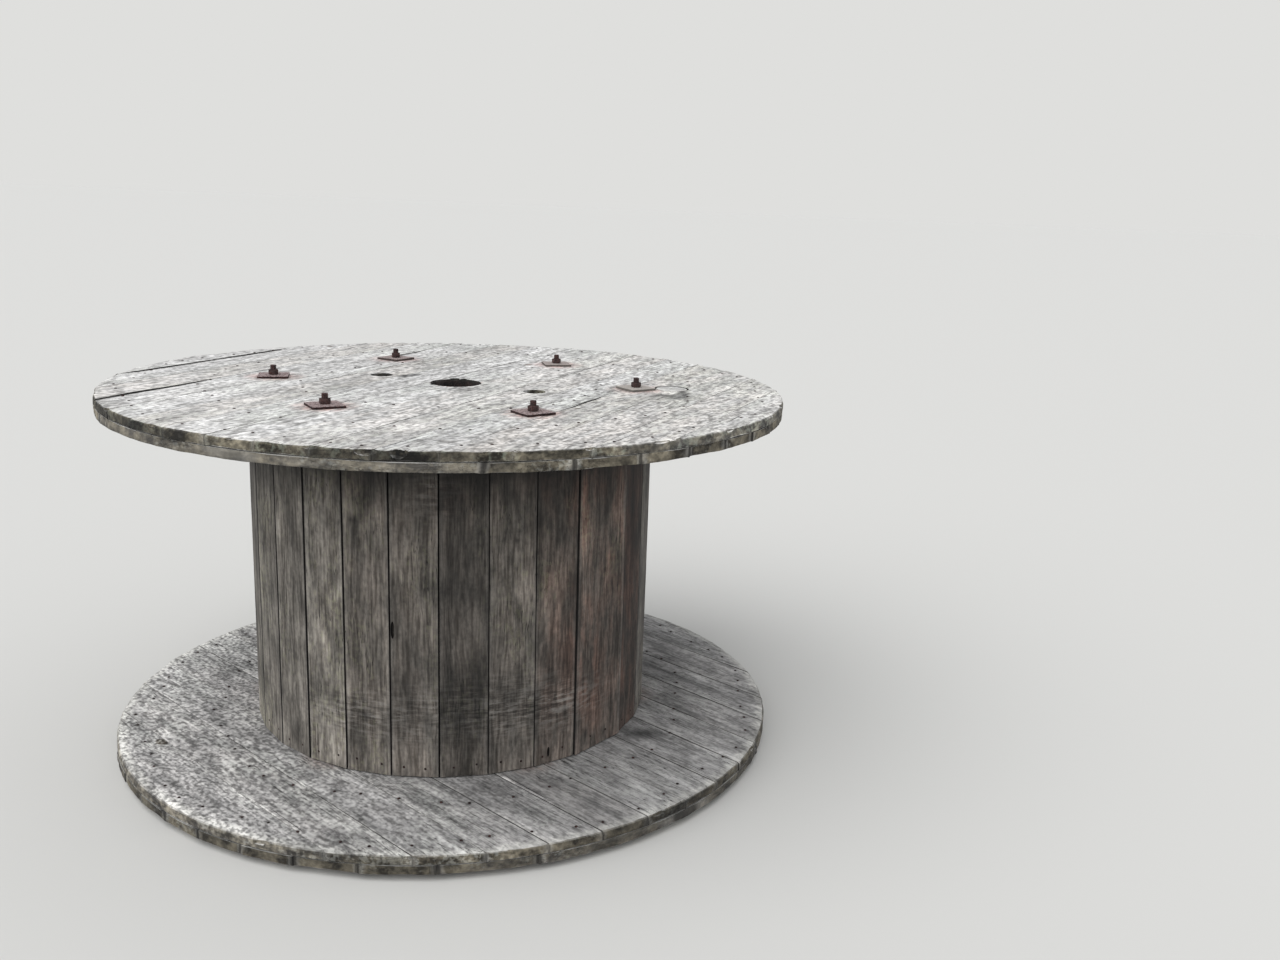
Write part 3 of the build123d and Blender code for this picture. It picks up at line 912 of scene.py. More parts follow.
def rimCutter(low, high, radius, lowEdge, highEdge):  # the circle a ply is sawn to, with its edges worn round
    cutter = addShape("cylinder", (0, 0, (low + high) / 2), vertices=300, radius=radius, depth=high - low)
    settle(cutter)
    bpy.ops.object.mode_set(mode="EDIT")
    markEdges(cutter, lambda a, b: abs(a.z - b.z) > 0.01)
    bpy.ops.mesh.subdivide(number_cuts=1)
    for level, rounding in ((low, lowEdge), (high, highEdge)):
        markEdges(cutter, lambda a, b: max(abs(a.z - level), abs(b.z - level)) < 0.0001)
        bpy.ops.mesh.bevel(offset=rounding, segments=3, affect="EDGES")
    bpy.ops.object.mode_set(mode="OBJECT")
    return cutter


def holeCutter(x, y, radius, low, high, faceUp, wear):  # a drilled hole, wider at its worn mouth
    cutter = addShape("cylinder", (x, y, (low + high) / 2), vertices=48, radius=radius, depth=high - low)
    settle(cutter)
    mouth = high if faceUp else low
    step = plyShared["mouthDeep"] if faceUp else -plyShared["mouthDeep"]
    bpy.ops.object.mode_set(mode="EDIT")
    markFaces(cutter, lambda centre, normal: abs(centre.z - mouth) < 0.0001 and abs(normal.z) > 0.9)
    for growth in (1 + wear / radius, 1.0):
        bpy.ops.mesh.extrude_region_move(TRANSFORM_OT_translate={"value": (0, 0, step)})
        bpy.ops.transform.resize(value=(growth, growth, 1), center_override=(x, y, mouth))
    bpy.ops.object.mode_set(mode="OBJECT")
    return cutter


def splitCutter(x0, y0, x1, y1, widthMm, level):  # a crack along the grain, closing at both ends
    length = math.hypot(x1 - x0, y1 - y0) / 1000
    cutter = addShape("cube", size=1)
    cutter.scale = (length, widthMm / 1000, 0.018)
    settle(cutter)
    bpy.ops.object.mode_set(mode="EDIT")
    markEdges(cutter, lambda a, b: abs(a.x - b.x) > length / 2)
    bpy.ops.mesh.subdivide(number_cuts=5)
    for side in (-1, 1):
        markFaces(cutter, lambda centre, normal: centre.x * side > length * 0.49)
        bpy.ops.transform.resize(value=(1, 0.1, 1), center_override=(0, 0, 0))
    bpy.ops.object.mode_set(mode="OBJECT")
    cutter.rotation_euler = (0, 0, math.atan2(y1 - y0, x1 - x0))
    cutter.location = ((x0 + x1) / 2000, (y0 + y1) / 2000, level)
    settle(cutter)
    return cutter


def biteCutter(turnedTo, height, halfLength, deep, halfHeight):  # a piece broken out of the rim
    angle = math.radians(turnedTo)
    cutter = addShape("uv_sphere", segments=14, ring_count=8, radius=0.001)
    cutter.scale = (deep, halfLength, halfHeight)
    cutter.rotation_euler = (dice.uniform(-0.2, 0.2), 0, angle)
    cutter.location = (flangeRadius * math.cos(angle), flangeRadius * math.sin(angle), height / 1000)
    settle(cutter)
    return cutter


def tearCutter(x, y, halfX, halfY, halfHeight):  # a splinter torn out of a hole's mouth
    cutter = addShape("uv_sphere", segments=12, ring_count=8, radius=0.001)
    cutter.scale = (halfX, halfY, halfHeight)
    cutter.location = (x / 1000, y / 1000, topLevel)
    settle(cutter)
    return cutter


boreHoles = [mount for mount in frame["record"]["mounts"] if mount["kind"] == "bore"]
plugLow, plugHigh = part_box("cable_hole_plug")
plugPlace = middleOf(plugLow, plugHigh)
plugRadius = (plugHigh[1] - plugLow[1]) / 2


def makePly(name):
    spec = plies[name]
    turn = math.radians(spec["turn"])
    low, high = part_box(spec["node"])
    edges = boardEdges(spec["node"], turn)
    upSide = 1 if spec["faceUp"] else -1
    faceEdge, seatEdge = spec["faceEdgeMm"] / 1000, spec["seatEdgeMm"] / 1000
    lowEdge, highEdge = (seatEdge, faceEdge) if spec["faceUp"] else (faceEdge, seatEdge)
    arris = spec["arrisMm"] / 1000
    boards = []
    boardGap = min(after[0] - before[1] for before, after in zip(edges, edges[1:]))
    for first, last in edges:
        middle = (first + last) / 2
        nearest = 0 if first < 0 < last else min(abs(first), abs(last))
        length = 2 * math.sqrt(flangeRadius ** 2 - nearest ** 2) + plyShared["spare"]
        cuts = int(length * 1000 / spec["alongMm"])
        width = last - first + (boardGap - spec["seamMm"] / 1000)
        board = sawnBoard(name, length, width, high[2] - low[2], cuts, spec["cutsAcross"], arris)
        board.rotation_euler = (0 if upSide > 0 else math.pi, 0, turn)
        sunk = -upSide * dice.uniform(0, spec["levelMm"]) / 1000
        board.location = (-middle * math.sin(turn), middle * math.cos(turn), (low[2] + high[2]) / 2 + sunk)
        settle(board)
        weather(board, board.location, turn, plyShared["ridges"], upSide * spec["ridgeMm"] / 1000)
        weather(board, board.location, turn, plyShared["sinks"], upSide * spec["sinkMm"] / 1000)
        radius = flangeRadius - dice.uniform(0, spec["shortMm"]) / 1000
        cutWith(board, rimCutter(low[2], high[2], radius, lowEdge, highEdge), "INTERSECT")
        boards.append(board)
    ply = joined(boards, name)

    zone = "upper" if "upper" in spec["node"] else "lower"
    past, mouth = plyShared["past"], plyShared["mouthDeep"]
    reach = (low[2] - past, high[2] - mouth) if spec["faceUp"] else (low[2] + mouth, high[2] + past)
    holes = []
    for mount in boreHoles:
        if zone in mount["name"]:
            x, y = mount["pos_m"][0], mount["pos_m"][1]
            radius = mount["dims"]["r_mm"] / 1000
            holes.append(holeCutter(x, y, radius, *reach, spec["faceUp"], plyShared["mouthWear"]))
    if zone == "upper":
        radius = plugRadius + plyShared["plugGap"]
        holes.append(holeCutter(*plugPlace, radius, *reach, spec["faceUp"], plyShared["plugMouthWear"]))
    face = high[2] if spec["faceUp"] else low[2]
    for split in spec["splits"]:
        holes.append(splitCutter(*split, face))
    cutWith(ply, joined(holes, "drills"), "DIFFERENCE")
    if spec["bites"]:
        broken = [biteCutter(*bite) for bite in spec["bites"]]
        broken += [tearCutter(*tear) for tear in spec.get("tears", ())]
        cutWith(ply, joined(broken, "bites"), "DIFFERENCE")

    co = points(ply)
    far = np.hypot(co[:, 0], co[:, 1])
    across = alongAndAcross(co[:, 0], co[:, 1], turn)[1]
    starts, stops = np.array(edges).T
    board = np.clip(np.searchsorted(starts, across + 0.0005) - 1, 0, len(edges) - 1)
    clearOfSeam = np.minimum(across - starts[board], stops[board] - across) > plyShared["seamClear"]
    rim = ply.vertex_groups.new(name="rim")
    chosen = np.nonzero((far > flangeRadius - plyShared["chipReach"]) & clearOfSeam)[0]
    rim.add([int(k) for k in chosen], 1.0, "REPLACE")
    applied(
        ply, "DISPLACE", texture=chips, texture_coords="LOCAL", strength=spec["chipMm"] / 1000,
        mid_level=plyShared["chipLevel"], direction="NORMAL", vertex_group="rim",
    )
    co = points(ply)
    over = np.maximum(np.hypot(co[:, 0], co[:, 1]) / flangeRadius, 1)
    co[:, 0] /= over
    co[:, 1] /= over
    cupMm = plyShared["cup"] * 1000
    for seam, begin, end, drop in spec["dips"]:  # a board cupped along one edge, so the next stands proud
        along = alongAndAcross(co[:, 0], co[:, 1], turn)[0]
        nearSeam = np.clip(1 - (seam - across * 1000) / cupMm, 0, 1) ** 1.5 * (across * 1000 < seam)
        midway = np.clip((along * 1000 - begin) / cupMm, 0, 1) * np.clip((end - along * 1000) / cupMm, 0, 1)
        co[:, 2] -= upSide * drop / 1000 * nearSeam * midway * (co[:, 2] > (low[2] + high[2]) / 2)
    co[:, 2] = np.clip(co[:, 2], low[2], high[2])
    ply.data.vertices.foreach_set("co", co.ravel())
    ply.data.update()

    along, across = alongAndAcross(co[:, 0], co[:, 1], turn)
    far = np.hypot(co[:, 0], co[:, 1])
    middles = (starts + stops) / 2
    most, beside, brown = plyShared["slide"], plyShared["pithBeside"], plyShared["brownMost"]
    slide = np.array([dice.uniform(-most, most) for edge in edges])
    pithY = np.array([dice.uniform(-beside, beside) for edge in edges])
    pithZ = np.array([dice.choice((-1, 1)) * dice.uniform(*plyShared["pithBelow"]) for edge in edges])
    tones = np.array([dice.uniform(-1, 1) for edge in edges]) * spec["toneSpread"]
    browns = np.array([max(0, dice.uniform(-brown, brown)) for edge in edges])
    browns *= 1 - min(1, 2 * spec["lean"])
    height = co[:, 2] - low[2] - pithZ[board]
    writeMarks(ply, "grain", (along + slide[board], across - middles[board] - pithY[board], height))
    tone = spotted(co[:, 0] * 1000, co[:, 1] * 1000, spec["spots"]) + tones[board]
    tone -= spec["lean"] * co[:, 0] + spec["leanBack"] * co[:, 1]
    if spec["lean"]:  # near the barrel the upper flange's shade is painted in, with dirt where it keeps the rain off; the outer part bleaches
        flangeShadeAndWeather = plyShared["flangeShadeAndWeather"]
        tone += np.interp(far, list(flangeShadeAndWeather), list(flangeShadeAndWeather.values()))
    splintered = np.zeros(len(co))
    inside, half = plyShared["splinterMm"]
    for seam, begin, end, strength in spec.get("paleEdges", ()):
        withinReach = (along * 1000 > begin) & (along * 1000 < end)
        splintered += strength * withinReach * np.exp(-((across * 1000 - seam + inside) / half) ** 2)
    tone += splintered
    depth = np.abs(co[:, 2] - face) * 1000
    turned = np.degrees(np.arctan2(co[:, 1], co[:, 0]))
    onRim = np.clip((depth - 3) / 3, 0, 1)
    for direction, half, strength in spec["wallSpots"]:
        tone += strength * onRim * np.exp(-(((turned - direction + 180) % 360 - 180) / half) ** 2)
    mossHere, mossLean = spec["moss"]
    moss = np.clip(mossHere - mossLean * co[:, 0], plyShared["mossLeast"] if mossHere else 0, 1)
    writeMarks(ply, "boardMarks", (tone, browns[board], moss))
    rust = plyShared["boreRust"] * (far < plyShared["boreRustRadius"])  # iron that bore here left its colour
    for x, y in boltPlaces:
        near = np.hypot(co[:, 0] - x, co[:, 1] - y)
        rust = np.maximum(rust, np.clip(plyShared["rustPeak"] - near / plyShared["rustReach"], 0, 1))
    fromSeam = np.minimum(across - starts[board], stops[board] - across)
    closeness = np.clip(1 - fromSeam / plyShared["seamReach"], 0, 1)
    closeness *= 1 - np.clip(2 * splintered, 0, 1)
    seams = closeness * spec["seams"] * (1 - plyShared["mossOnSeam"] * moss)
    writeMarks(ply, "spotMarks", (rust, seams, 0))
    seat = low[2] if spec["faceUp"] else high[2]
    writeCutsAndShade(ply, (math.cos(turn), math.sin(turn), 0), (0, 0, 1), flangeRadius, seat, spec["bites"])
    finish(ply, spec["wood"], [spec["node"]])
    print(name, "made,", len(ply.data.polygons), "faces")


for plyName in plies:
    makePly(plyName)


# staves

staveSettings = {
    "alongMm": 11, "cutsAcross": 13, "arrisMm": 1.7, "ridgeMm": 1.3, "sinkMm": 1.2, "sunkMm": 1.2,
    "looseMm": {  # how much narrower each one is than its neighbours leave room for
        21: 0.5, 22: 4.2, 23: 3.6, 24: 1.2, 25: 1.6, 26: 0.3, 27: 0.1, 28: 0.2, 1: 0.4, 2: 0.1,
    },
    "swellMm": 2.2, "ridges": (1, 0.012, 0.22), "sinks": (1, 0.06, 0.5), "seamReach": 0.006,
    "flangeShadeAndWeather": 0.92, "shadeAndDirtFrom": 0.185, "shadeAndDirtSpan": 0.11,  # painted shade and dirt under the upper flange, in metres
    "tones": {  # how much paler or darker than the rest, as the photo shows them
        21: 0.05, 22: 0.15, 23: 0.34, 24: 0.0, 25: -0.1, 26: -0.5, 27: -0.08, 28: -0.15, 1: -0.07, 2: -0.52,
    },
    "browns": {21: 0, 22: 0, 23: 0, 24: 0.1, 25: 0.1, 26: 0.1, 27: 0.1, 28: 0.25, 1: 0.5, 2: 0.8},
    "stains": [  # reddish brown places: direction, height, half sizes, strength
        (-57, 400, 5, 170, 0.6), (-64, 330, 3, 130, 0.4), (-49, 280, 4, 150, 0.4), (-56, 720, 4, 60, 0.4),
        (-66, 560, 3, 60, 0.3), (-48, 775, 12, 60, 0.45), (-89, 785, 8, 60, 0.3), (-66, 805, 8, 60, 0.35),
        (-41, 585, 8, 60, 0.3), (-33, 445, 3, 140, 0.25), (-115, 805, 8, 60, 0.2), (-57, 735, 3, 140, 0.2),
        (-31, 735, 3, 140, 0.2), (-35, 450, 5, 300, 0.3),
    ],
    "spots": [  # direction in degrees, height in mm, half sizes, how much paler or darker
        (-126.6, 400, 2.5, 70, 0.3), (-103.6, 410, 2.5, 40, 0.25), (-90, 395, 3, 30, 0.4),
        (-87.6, 250, 5, 90, -0.15), (-74.4, 230, 8, 120, -0.2), (-74.6, 466, 4, 120, 0.2),
        (-41.3, 400, 3, 180, -0.3), (-54, 600, 1.5, 200, 0.3), (-58.7, 334, 3, 60, -0.3),
        (-112.2, 765, 2, 50, -0.4), (-138, 110, 2.5, 40, -0.4), (-158, 238, 2, 30, -0.5),
        (-116.5, 712, 1.6, 14, -0.75), (-114.4, 220, 1.3, 12, -0.75), (-59.3, 193, 1.2, 12, -0.6),
        (-52, 114, 1.2, 12, -0.6), (-74.3, 668, 0.9, 9, -0.8), (-74.3, 690, 1.8, 7, -0.5),
        (-93, 790, 3, 14, -0.5), (-94, 755, 3, 9, -0.4), (-68, 640, 3, 40, -0.3), (-57, 560, 4, 70, -0.25),
        (-52, 740, 4, 50, 0.3), (-62.3, 420, 0.9, 170, 0.7), (-57, 520, 1.6, 50, -0.5),
        (-52, 480, 1.5, 80, -0.35), (-60, 240, 3, 40, 0.3), (-55, 330, 1.2, 90, 0.4),
        (-69, 705, 2.5, 40, -0.45), (-66, 500, 1.4, 80, 0.35), (-70.5, 430, 1.4, 60, -0.4),
        (-68, 320, 2.5, 30, 0.35), (-71, 200, 1.5, 60, 0.3), (-49, 600, 2, 60, -0.3),
        (-84, 430, 3, 60, 0.25), (-72, 560, 5, 120, 0.15), (-101, 600, 5, 120, 0.12),
        (-53, 445, 4, 160, 0.42), (-145, 655, 5, 40, 0.4), (-128, 85, 4, 160, -0.35),
        (-106, 415, 4, 90, 0.38),
        (-31, 635, 4, 160, -0.3), (-85, 375, 4, 90, -0.25), (-83, 735, 2, 90, 0.22),
        (-37, 255, 4, 90, 0.28), (-94, 795, 4, 90, 0.35), (-127, 775, 5, 40, 0.45),
        (-125, 385, 2, 45, 0.5), (-91, 525, 2, 45, 0.3),
        (-44, 645, 5, 40, 0.35), (-47, 755, 4, 160, -0.3), (-148, 695, 5, 40, 0.38), (-76, 585, 2, 90, 0.42),
        (-66, 805, 4, 160, -0.35), (-54, 585, 2, 90, 0.4), (-126, 525, 5, 40, 0.45), (-70, 405, 5, 40, 0.42),
        (-140, 245, 4, 160, -0.25), (-107, 745, 4, 90, 0.36), (-80, 205, 4, 90, 0.22),
        (-142, 665, 2, 45, 0.38), (-40, 505, 5, 40, -0.3), (-85, 785, 2, 90, 0.28),
    ],
    "heights": [  # paler towards the foot; darker towards the top, as painted shade and dirt under the upper flange
        (90, 0.55), (125, 0.48), (150, 0.27), (200, 0.13), (300, 0), (600, 0.03), (700, -0.09), (760, -0.16),
        (800, -0.1),
    ],
    "scuffs": [  # rubbed pale by the cable
        (-80, 240, 22, 70, 1.0), (-115, 215, 14, 50, 0.7), (-60, 215, 12, 50, 0.7), (-95, 800, 7, 60, 0.7),
    ],
    "green": [(-109.9, 110, 3.5, 60, 0.9), (-158, 150, 6, 70, 0.6), (-135, 120, 5, 50, 0.4)],
}
staveNotches = {  # stave: direction in degrees, height, half width, half height and depth in mm
    25: (-106.0, 447, 4.5, 22, 12), 28: (-64.4, 95, 3.5, 14, 12),
}


def staveSolid(node):  # the way a stave faces, and where its solid's points lie outwards, sideways and up
    co = points(nodes[node])
    middle = co.mean(0)
    direction = math.atan2(middle[1], middle[0])
    return direction, *alongAndAcross(co[:, 0], co[:, 1], direction), co[:, 2]


def makeStave(index):
    node = f"stave_{index:02d}"
    direction, radial, tangent, heights = staveSolid(node)
    outer, inner = radial.max(), radial.min()
    low, high = heights.min(), heights.max()
    slack = staveSettings["looseMm"].get(index, dice.uniform(0.1, 0.9)) / 1000
    width = tangent.max() - tangent.min() + staveSettings["swellMm"] / 1000 - slack
    cuts = int((high - low) * 1000 / staveSettings["alongMm"])
    arris = staveSettings["arrisMm"] / 1000
    stave = sawnBoard(node, high - low, width, outer - inner, cuts, staveSettings["cutsAcross"], arris)
    pick(stave)
    bpy.ops.object.mode_set(mode="EDIT")
    markEdges(stave, lambda a, b: max(a.z, b.z) < 0)
    bpy.ops.transform.resize(value=(1, inner / outer, 1), center_override=(0, 0, 0))
    bpy.ops.object.mode_set(mode="OBJECT")
    away = (outer + inner) / 2 - dice.uniform(0, staveSettings["sunkMm"]) / 1000
    # the board's length stands up along Z and its show face looks outwards
    stave.matrix_world = (
        Matrix.Translation((away * math.cos(direction), away * math.sin(direction), (low + high) / 2))
        @ Matrix.Rotation(direction, 4, "Z")
        @ Matrix(((0, 0, 1, 0), (0, -1, 0, 0), (1, 0, 0, 0), (0, 0, 0, 1)))
    )
    settle(stave)
    for stretch, depthMm in (("ridges", "ridgeMm"), ("sinks", "sinkMm")):
        strength = staveSettings[depthMm] / 1000
        weather(stave, stave.location, direction, staveSettings[stretch], strength, "NORMAL")
    if index in staveNotches:
        turnedTo, height, halfWidth, halfHeight, deep = staveNotches[index]
        angle = math.radians(turnedTo)
        gouge = addShape("uv_sphere", segments=16, ring_count=10, radius=0.001)
        gouge.scale = (deep, halfWidth, halfHeight)
        gouge.rotation_euler = (0, 0, angle)
        gouge.location = (outer * math.cos(angle), outer * math.sin(angle), height / 1000)
        settle(gouge)
        cutWith(stave, gouge, "DIFFERENCE")
    co = points(stave)
    depth, across = alongAndAcross(co[:, 0], co[:, 1], direction)
    pithY = dice.uniform(-0.04, 0.04)
    pithZ = (outer + inner) / 2 + dice.choice((-1, 1)) * dice.uniform(0.03, 0.09)
    writeMarks(stave, "grain", (co[:, 2] + dice.uniform(-9, 9), across - pithY, depth - pithZ))
    angles = np.degrees(np.arctan2(co[:, 1], co[:, 0]))
    ownTone = staveSettings["tones"].get(index, dice.uniform(-0.3, 0.15))
    heightMm = co[:, 2] * 1000
    tone = ownTone + spotted(angles, heightMm, staveSettings["spots"])
    # painted shade under the upper flange, with dirt: the staves grow darker towards the top
    up = (co[:, 2] - high + staveSettings["shadeAndDirtFrom"]) / staveSettings["shadeAndDirtSpan"]
    shaded = 1 - staveSettings["flangeShadeAndWeather"] * np.clip(up, 0, 1)
    ownBrown = staveSettings["browns"].get(index, max(0, dice.uniform(-0.4, 0.5)))
    brown = ownBrown + spotted(angles, heightMm, staveSettings["stains"])
    green = spotted(angles, heightMm, staveSettings["green"])
    # the height profile: a paler foot, and painted shade with dirt towards the top
    shaded *= 1 + np.interp(heightMm, *zip(*staveSettings["heights"]))
    writeMarks(stave, "boardMarks", ((1 + tone) * shaded - 1, brown, green))
    closeness = np.clip(1 - (width / 2 - np.abs(across)) / staveSettings["seamReach"], 0, 1)
    rubbed = spotted(angles, heightMm, staveSettings["scuffs"])
    writeMarks(stave, "spotMarks", (0, closeness, rubbed))
    # the stave sides in the seams get painted shade
    writeCutsAndShade(stave, (0, 0, 1), (math.cos(direction), math.sin(direction), 0))
    finish(stave, "brownedSpruce", [node])


for i in staveNumbers:
    makeStave(i)
print("staves made")


# plug in the cable hole

plugSettings = {
    "belowMm": 1.5, "gapMm": 0.5, "rings": 9, "turn": 17, "edgeMm": 2.5, "ridgeMm": 1.6, "ringMm": 8,
    "grainStart": (3.7, 0.03, 0.06), "tone": 0.05, "brown": 0.1,
}


def makePlug():
    height = topLevel - plugLow[2] - plugSettings["belowMm"] / 1000
    top = plugLow[2] + height
    centre = (*plugPlace, plugLow[2] + height / 2)
    radius = plugRadius - plugSettings["gapMm"] / 1000
    plug = addShape("cylinder", centre, vertices=64, radius=radius, depth=height)
    settle(plug)
    bpy.ops.object.mode_set(mode="EDIT")
    markEdges(plug, lambda a, b: abs(a.z - b.z) < 0.0001)
    bpy.ops.mesh.bevel(offset=plugSettings["edgeMm"] / 1000, segments=2, affect="EDGES")
    markFaces(plug, lambda middle, normal: normal.z > 0.99)
    for k in range(plugSettings["rings"]):
        bpy.ops.mesh.inset(thickness=plugRadius / (plugSettings["rings"] + 1.5), depth=0)
    bpy.ops.object.mode_set(mode="OBJECT")
    show = plug.vertex_groups.new(name="showFace")
    show.add([v.index for v in plug.data.vertices if v.co.z > top - 0.001], 1.0, "REPLACE")
    turn = math.radians(plugSettings["turn"])
    weather(plug, plug.location, turn, plyShared["ridges"], plugSettings["ridgeMm"] / 1000)
    co = points(plug)
    x, y = co[:, 0] - plugPlace[0], co[:, 1] - plugPlace[1]
    along, across = alongAndAcross(x, y, turn)
    startX, startY, startZ = plugSettings["grainStart"]
    writeMarks(plug, "grain", (along + startX, across + startY, co[:, 2] - topLevel + startZ))
    writeMarks(plug, "boardMarks", (plugSettings["tone"], plugSettings["brown"], 0))
    closeness = np.clip(1 - (plugRadius - np.hypot(x, y)) * 1000 / plugSettings["ringMm"], 0, 1)
    writeMarks(plug, "spotMarks", (0, closeness, 0))
    # the plug's side, down in its hole, gets painted shade
    writeCutsAndShade(plug, (math.cos(turn), math.sin(turn), 0), (0, 0, 1))
    finish(plug, "bleachedSpruce", ["cable_hole_plug"])


makePlug()
bpy.data.objects.remove(guide, do_unlink=True)
print("plug made")


# square plates, bolts and nuts

plateSettings = {
    "edgeMm": 1.2, "cornerMm": 2.5, "cuts": 9, "bendMm": 2.2, "seatMm": 2.5,
    "wash": {"upper_plate_washer_1": 0.75, "upper_plate_washer_2": 0.45, "upper_plate_washer_3": 0.2},
}
boltSettings = {
    "threadMm": 2.0, "threadDeepMm": 0.7, "edgeMm": 1.6, "endMm": 0.9, "clearMm": 1.0, "inHeadMm": 2.0,
}
nutSettings = {"edgeMm": 1.6, "faceMm": 1.5, "dishMm": 1.0, "dishDeepMm": 0.6, "reachMm": 30}
flakes = bpy.data.textures.new("flakes", "CLOUDS")
flakes.noise_scale = 0.045
flakes.noise_depth = 3


def cutAt(level, axis):  # in edit mode, adds a ring of edges across the whole piece
    place = [0, 0, 0]
    normal = [0, 0, 0]
    place[axis] = level
    normal[axis] = 1
    bpy.ops.mesh.select_all(action="SELECT")
    bpy.ops.mesh.bisect(plane_co=place, plane_no=normal)


def makePlate(node, seatUp):
    low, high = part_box(node)
    co = points(nodes[node])
    x, y = middleOf(low, high)
    side, turn = cornerOf(co, x, y)
    seat = plateSettings["seatMm"] / 1000
    plate = addShape("cube", size=1)
    plate.scale = (side, side, high[2] - low[2] + seat)
    settle(plate)
    bpy.ops.object.mode_set(mode="EDIT")
    markEdges(plate, lambda a, b: abs(a.z - b.z) > 0.001)
    bpy.ops.mesh.bevel(offset=plateSettings["cornerMm"] / 1000, segments=2, affect="EDGES")
    markEdges(plate, lambda a, b: abs(a.z - b.z) < 0.0001)
    bpy.ops.mesh.bevel(offset=plateSettings["edgeMm"] / 1000, segments=2, affect="EDGES")
    for axis in range(2):
        for k in range(1, plateSettings["cuts"]):
            cutAt(side * (k / plateSettings["cuts"] - 0.5), axis)
    bpy.ops.object.mode_set(mode="OBJECT")
    plate.rotation_euler = (0, 0, turn)
    plate.location = (x, y, (low[2] + high[2] + (-seat if seatUp else seat)) / 2)
    settle(plate)
    applied(
        plate, "DISPLACE", texture=flakes, texture_coords="LOCAL", strength=plateSettings["bendMm"] / 1000,
        mid_level=0.9, direction="Z",
    )
    # the steep edge faces, which the rust material paints darker as shade
    edge = np.abs(readAll(plate.data.polygons, "normal")[:, 2]) < 0.85
    writeMarks(plate, "plateMarks", (edge, plateSettings["wash"].get(node, 0.0), 0), "FACE")
    finish(plate, "rustedPlate", [node], 40)


def makeBolt(node, nutTop):
    low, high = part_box(node)
    co = points(nodes[node])
    x, y = middleOf(low, high)
    reach = np.hypot(co[:, 0] - x, co[:, 1] - y)
    shankRadius = float(reach[co[:, 2] > low[2] + 0.05].max())  # above the head
    headTop = float(co[reach > shankRadius + 0.002][:, 2].max())  # of all that is wider than the shank
    length = high[2] - low[2] - boltSettings["inHeadMm"] / 1000
    shank = addShape("cylinder", (x, y, high[2] - length / 2), vertices=24, radius=shankRadius, depth=length)
    settle(shank)
    bpy.ops.object.mode_set(mode="EDIT")
    markEdges(shank, lambda a, b: min(a.z, b.z) > high[2] - 0.0001)
    bpy.ops.mesh.bevel(offset=boltSettings["endMm"] / 1000, segments=1, affect="EDGES")
    step = boltSettings["threadMm"] / 2000
    rows = int((high[2] - nutTop) / step) + 2
    threadTop = high[2] - boltSettings["clearMm"] / 1000
    for k in range(1, rows):
        cutAt(threadTop - k * step, 2)
    shrink = 1 - boltSettings["threadDeepMm"] / 1000 / shankRadius
    for k in range(1, rows, 2):
        level = threadTop - k * step
        markEdges(shank, lambda a, b: max(abs(a.z - level), abs(b.z - level)) < 0.0001)
        bpy.ops.transform.resize(value=(shrink, shrink, 1), center_override=(x, y, level))
    bpy.ops.object.mode_set(mode="OBJECT")
    head = addShape("cube", size=1)
    side, turn = cornerOf(co, x, y)
    head.scale = (side, side, headTop - low[2])
    settle(head)
    bpy.ops.object.mode_set(mode="EDIT")
    bpy.ops.mesh.select_all(action="SELECT")
    bpy.ops.mesh.bevel(offset=boltSettings["edgeMm"] / 1000, segments=2, affect="EDGES")
    bpy.ops.object.mode_set(mode="OBJECT")
    head.rotation_euler = (0, 0, turn)
    head.location = (x, y, (low[2] + headTop) / 2)
    settle(head)
    finish(joined([shank, head], node), "rustedBolt", [node])


def makeNuts():
    node = "tie_bolt_nuts"
    low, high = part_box(node)
    co = points(nodes[node])
    nuts = []
    for x, y in boltPlaces:
        reach = np.hypot(co[:, 0] - x, co[:, 1] - y)
        reach = float(reach[reach < nutSettings["reachMm"] / 1000].max())
        centre = (x, y, (low[2] + high[2]) / 2)
        nut = addShape("cylinder", centre, vertices=6, radius=reach, depth=high[2] - low[2])
        nut.rotation_euler = (0, 0, dice.uniform(0, 1))
        settle(nut)
        bpy.ops.object.mode_set(mode="EDIT")
        markEdges(nut, lambda a, b: abs(a.z - b.z) < 0.0001)
        bpy.ops.mesh.bevel(offset=nutSettings["edgeMm"] / 1000, segments=2, affect="EDGES")
        markFaces(nut, lambda middle, normal: abs(normal.z) > 0.99)
        bpy.ops.mesh.inset(thickness=nutSettings["faceMm"] / 1000, depth=0)
        bpy.ops.mesh.inset(thickness=nutSettings["dishMm"] / 1000, depth=-nutSettings["dishDeepMm"] / 1000)
        bpy.ops.object.mode_set(mode="OBJECT")
        nuts.append(nut)
    finish(joined(nuts, "tieBoltNuts"), "rustedBolt", [node])
    return high[2]


nutTop = makeNuts()
for i in boltNumbers:
    makePlate(f"upper_plate_washer_{i}", True)
    makePlate(f"lower_plate_washer_{i}", False)
    makeBolt(f"tie_bolt_{i}", nutTop)
print("plates, bolts and nuts made")


# nails

nailSettings = {
    "headMm": 4.2, "domeMm": 2.3, "sunkMm": 2.3, "plugClearMm": 10, "outsideBarrel": 0.56,
    "staveHeadMm": 3.4, "staveDomeMm": 2.0, "staveSunkMm": 2.5, "staveEndMm": 27, "staveOffMm": 30,
    "strayMm": 6, "strayUp": 0.006,
}


def makeNails(name, headSize, spots):
    pattern = addShape("uv_sphere", segments=8, ring_count=4, radius=0.001)
    pattern.scale = headSize
    settle(pattern)
    nails = []
    for place, turn in spots:
        nail = copyOf(pattern, name)
        nail.location = place
        nail.rotation_euler = (0, 0, turn)
        nails.append(nail)
    bpy.data.objects.remove(pattern, do_unlink=True)
    nails = joined(nails, name)
    settle(nails)
    finish(nails, "rustedNail", [])


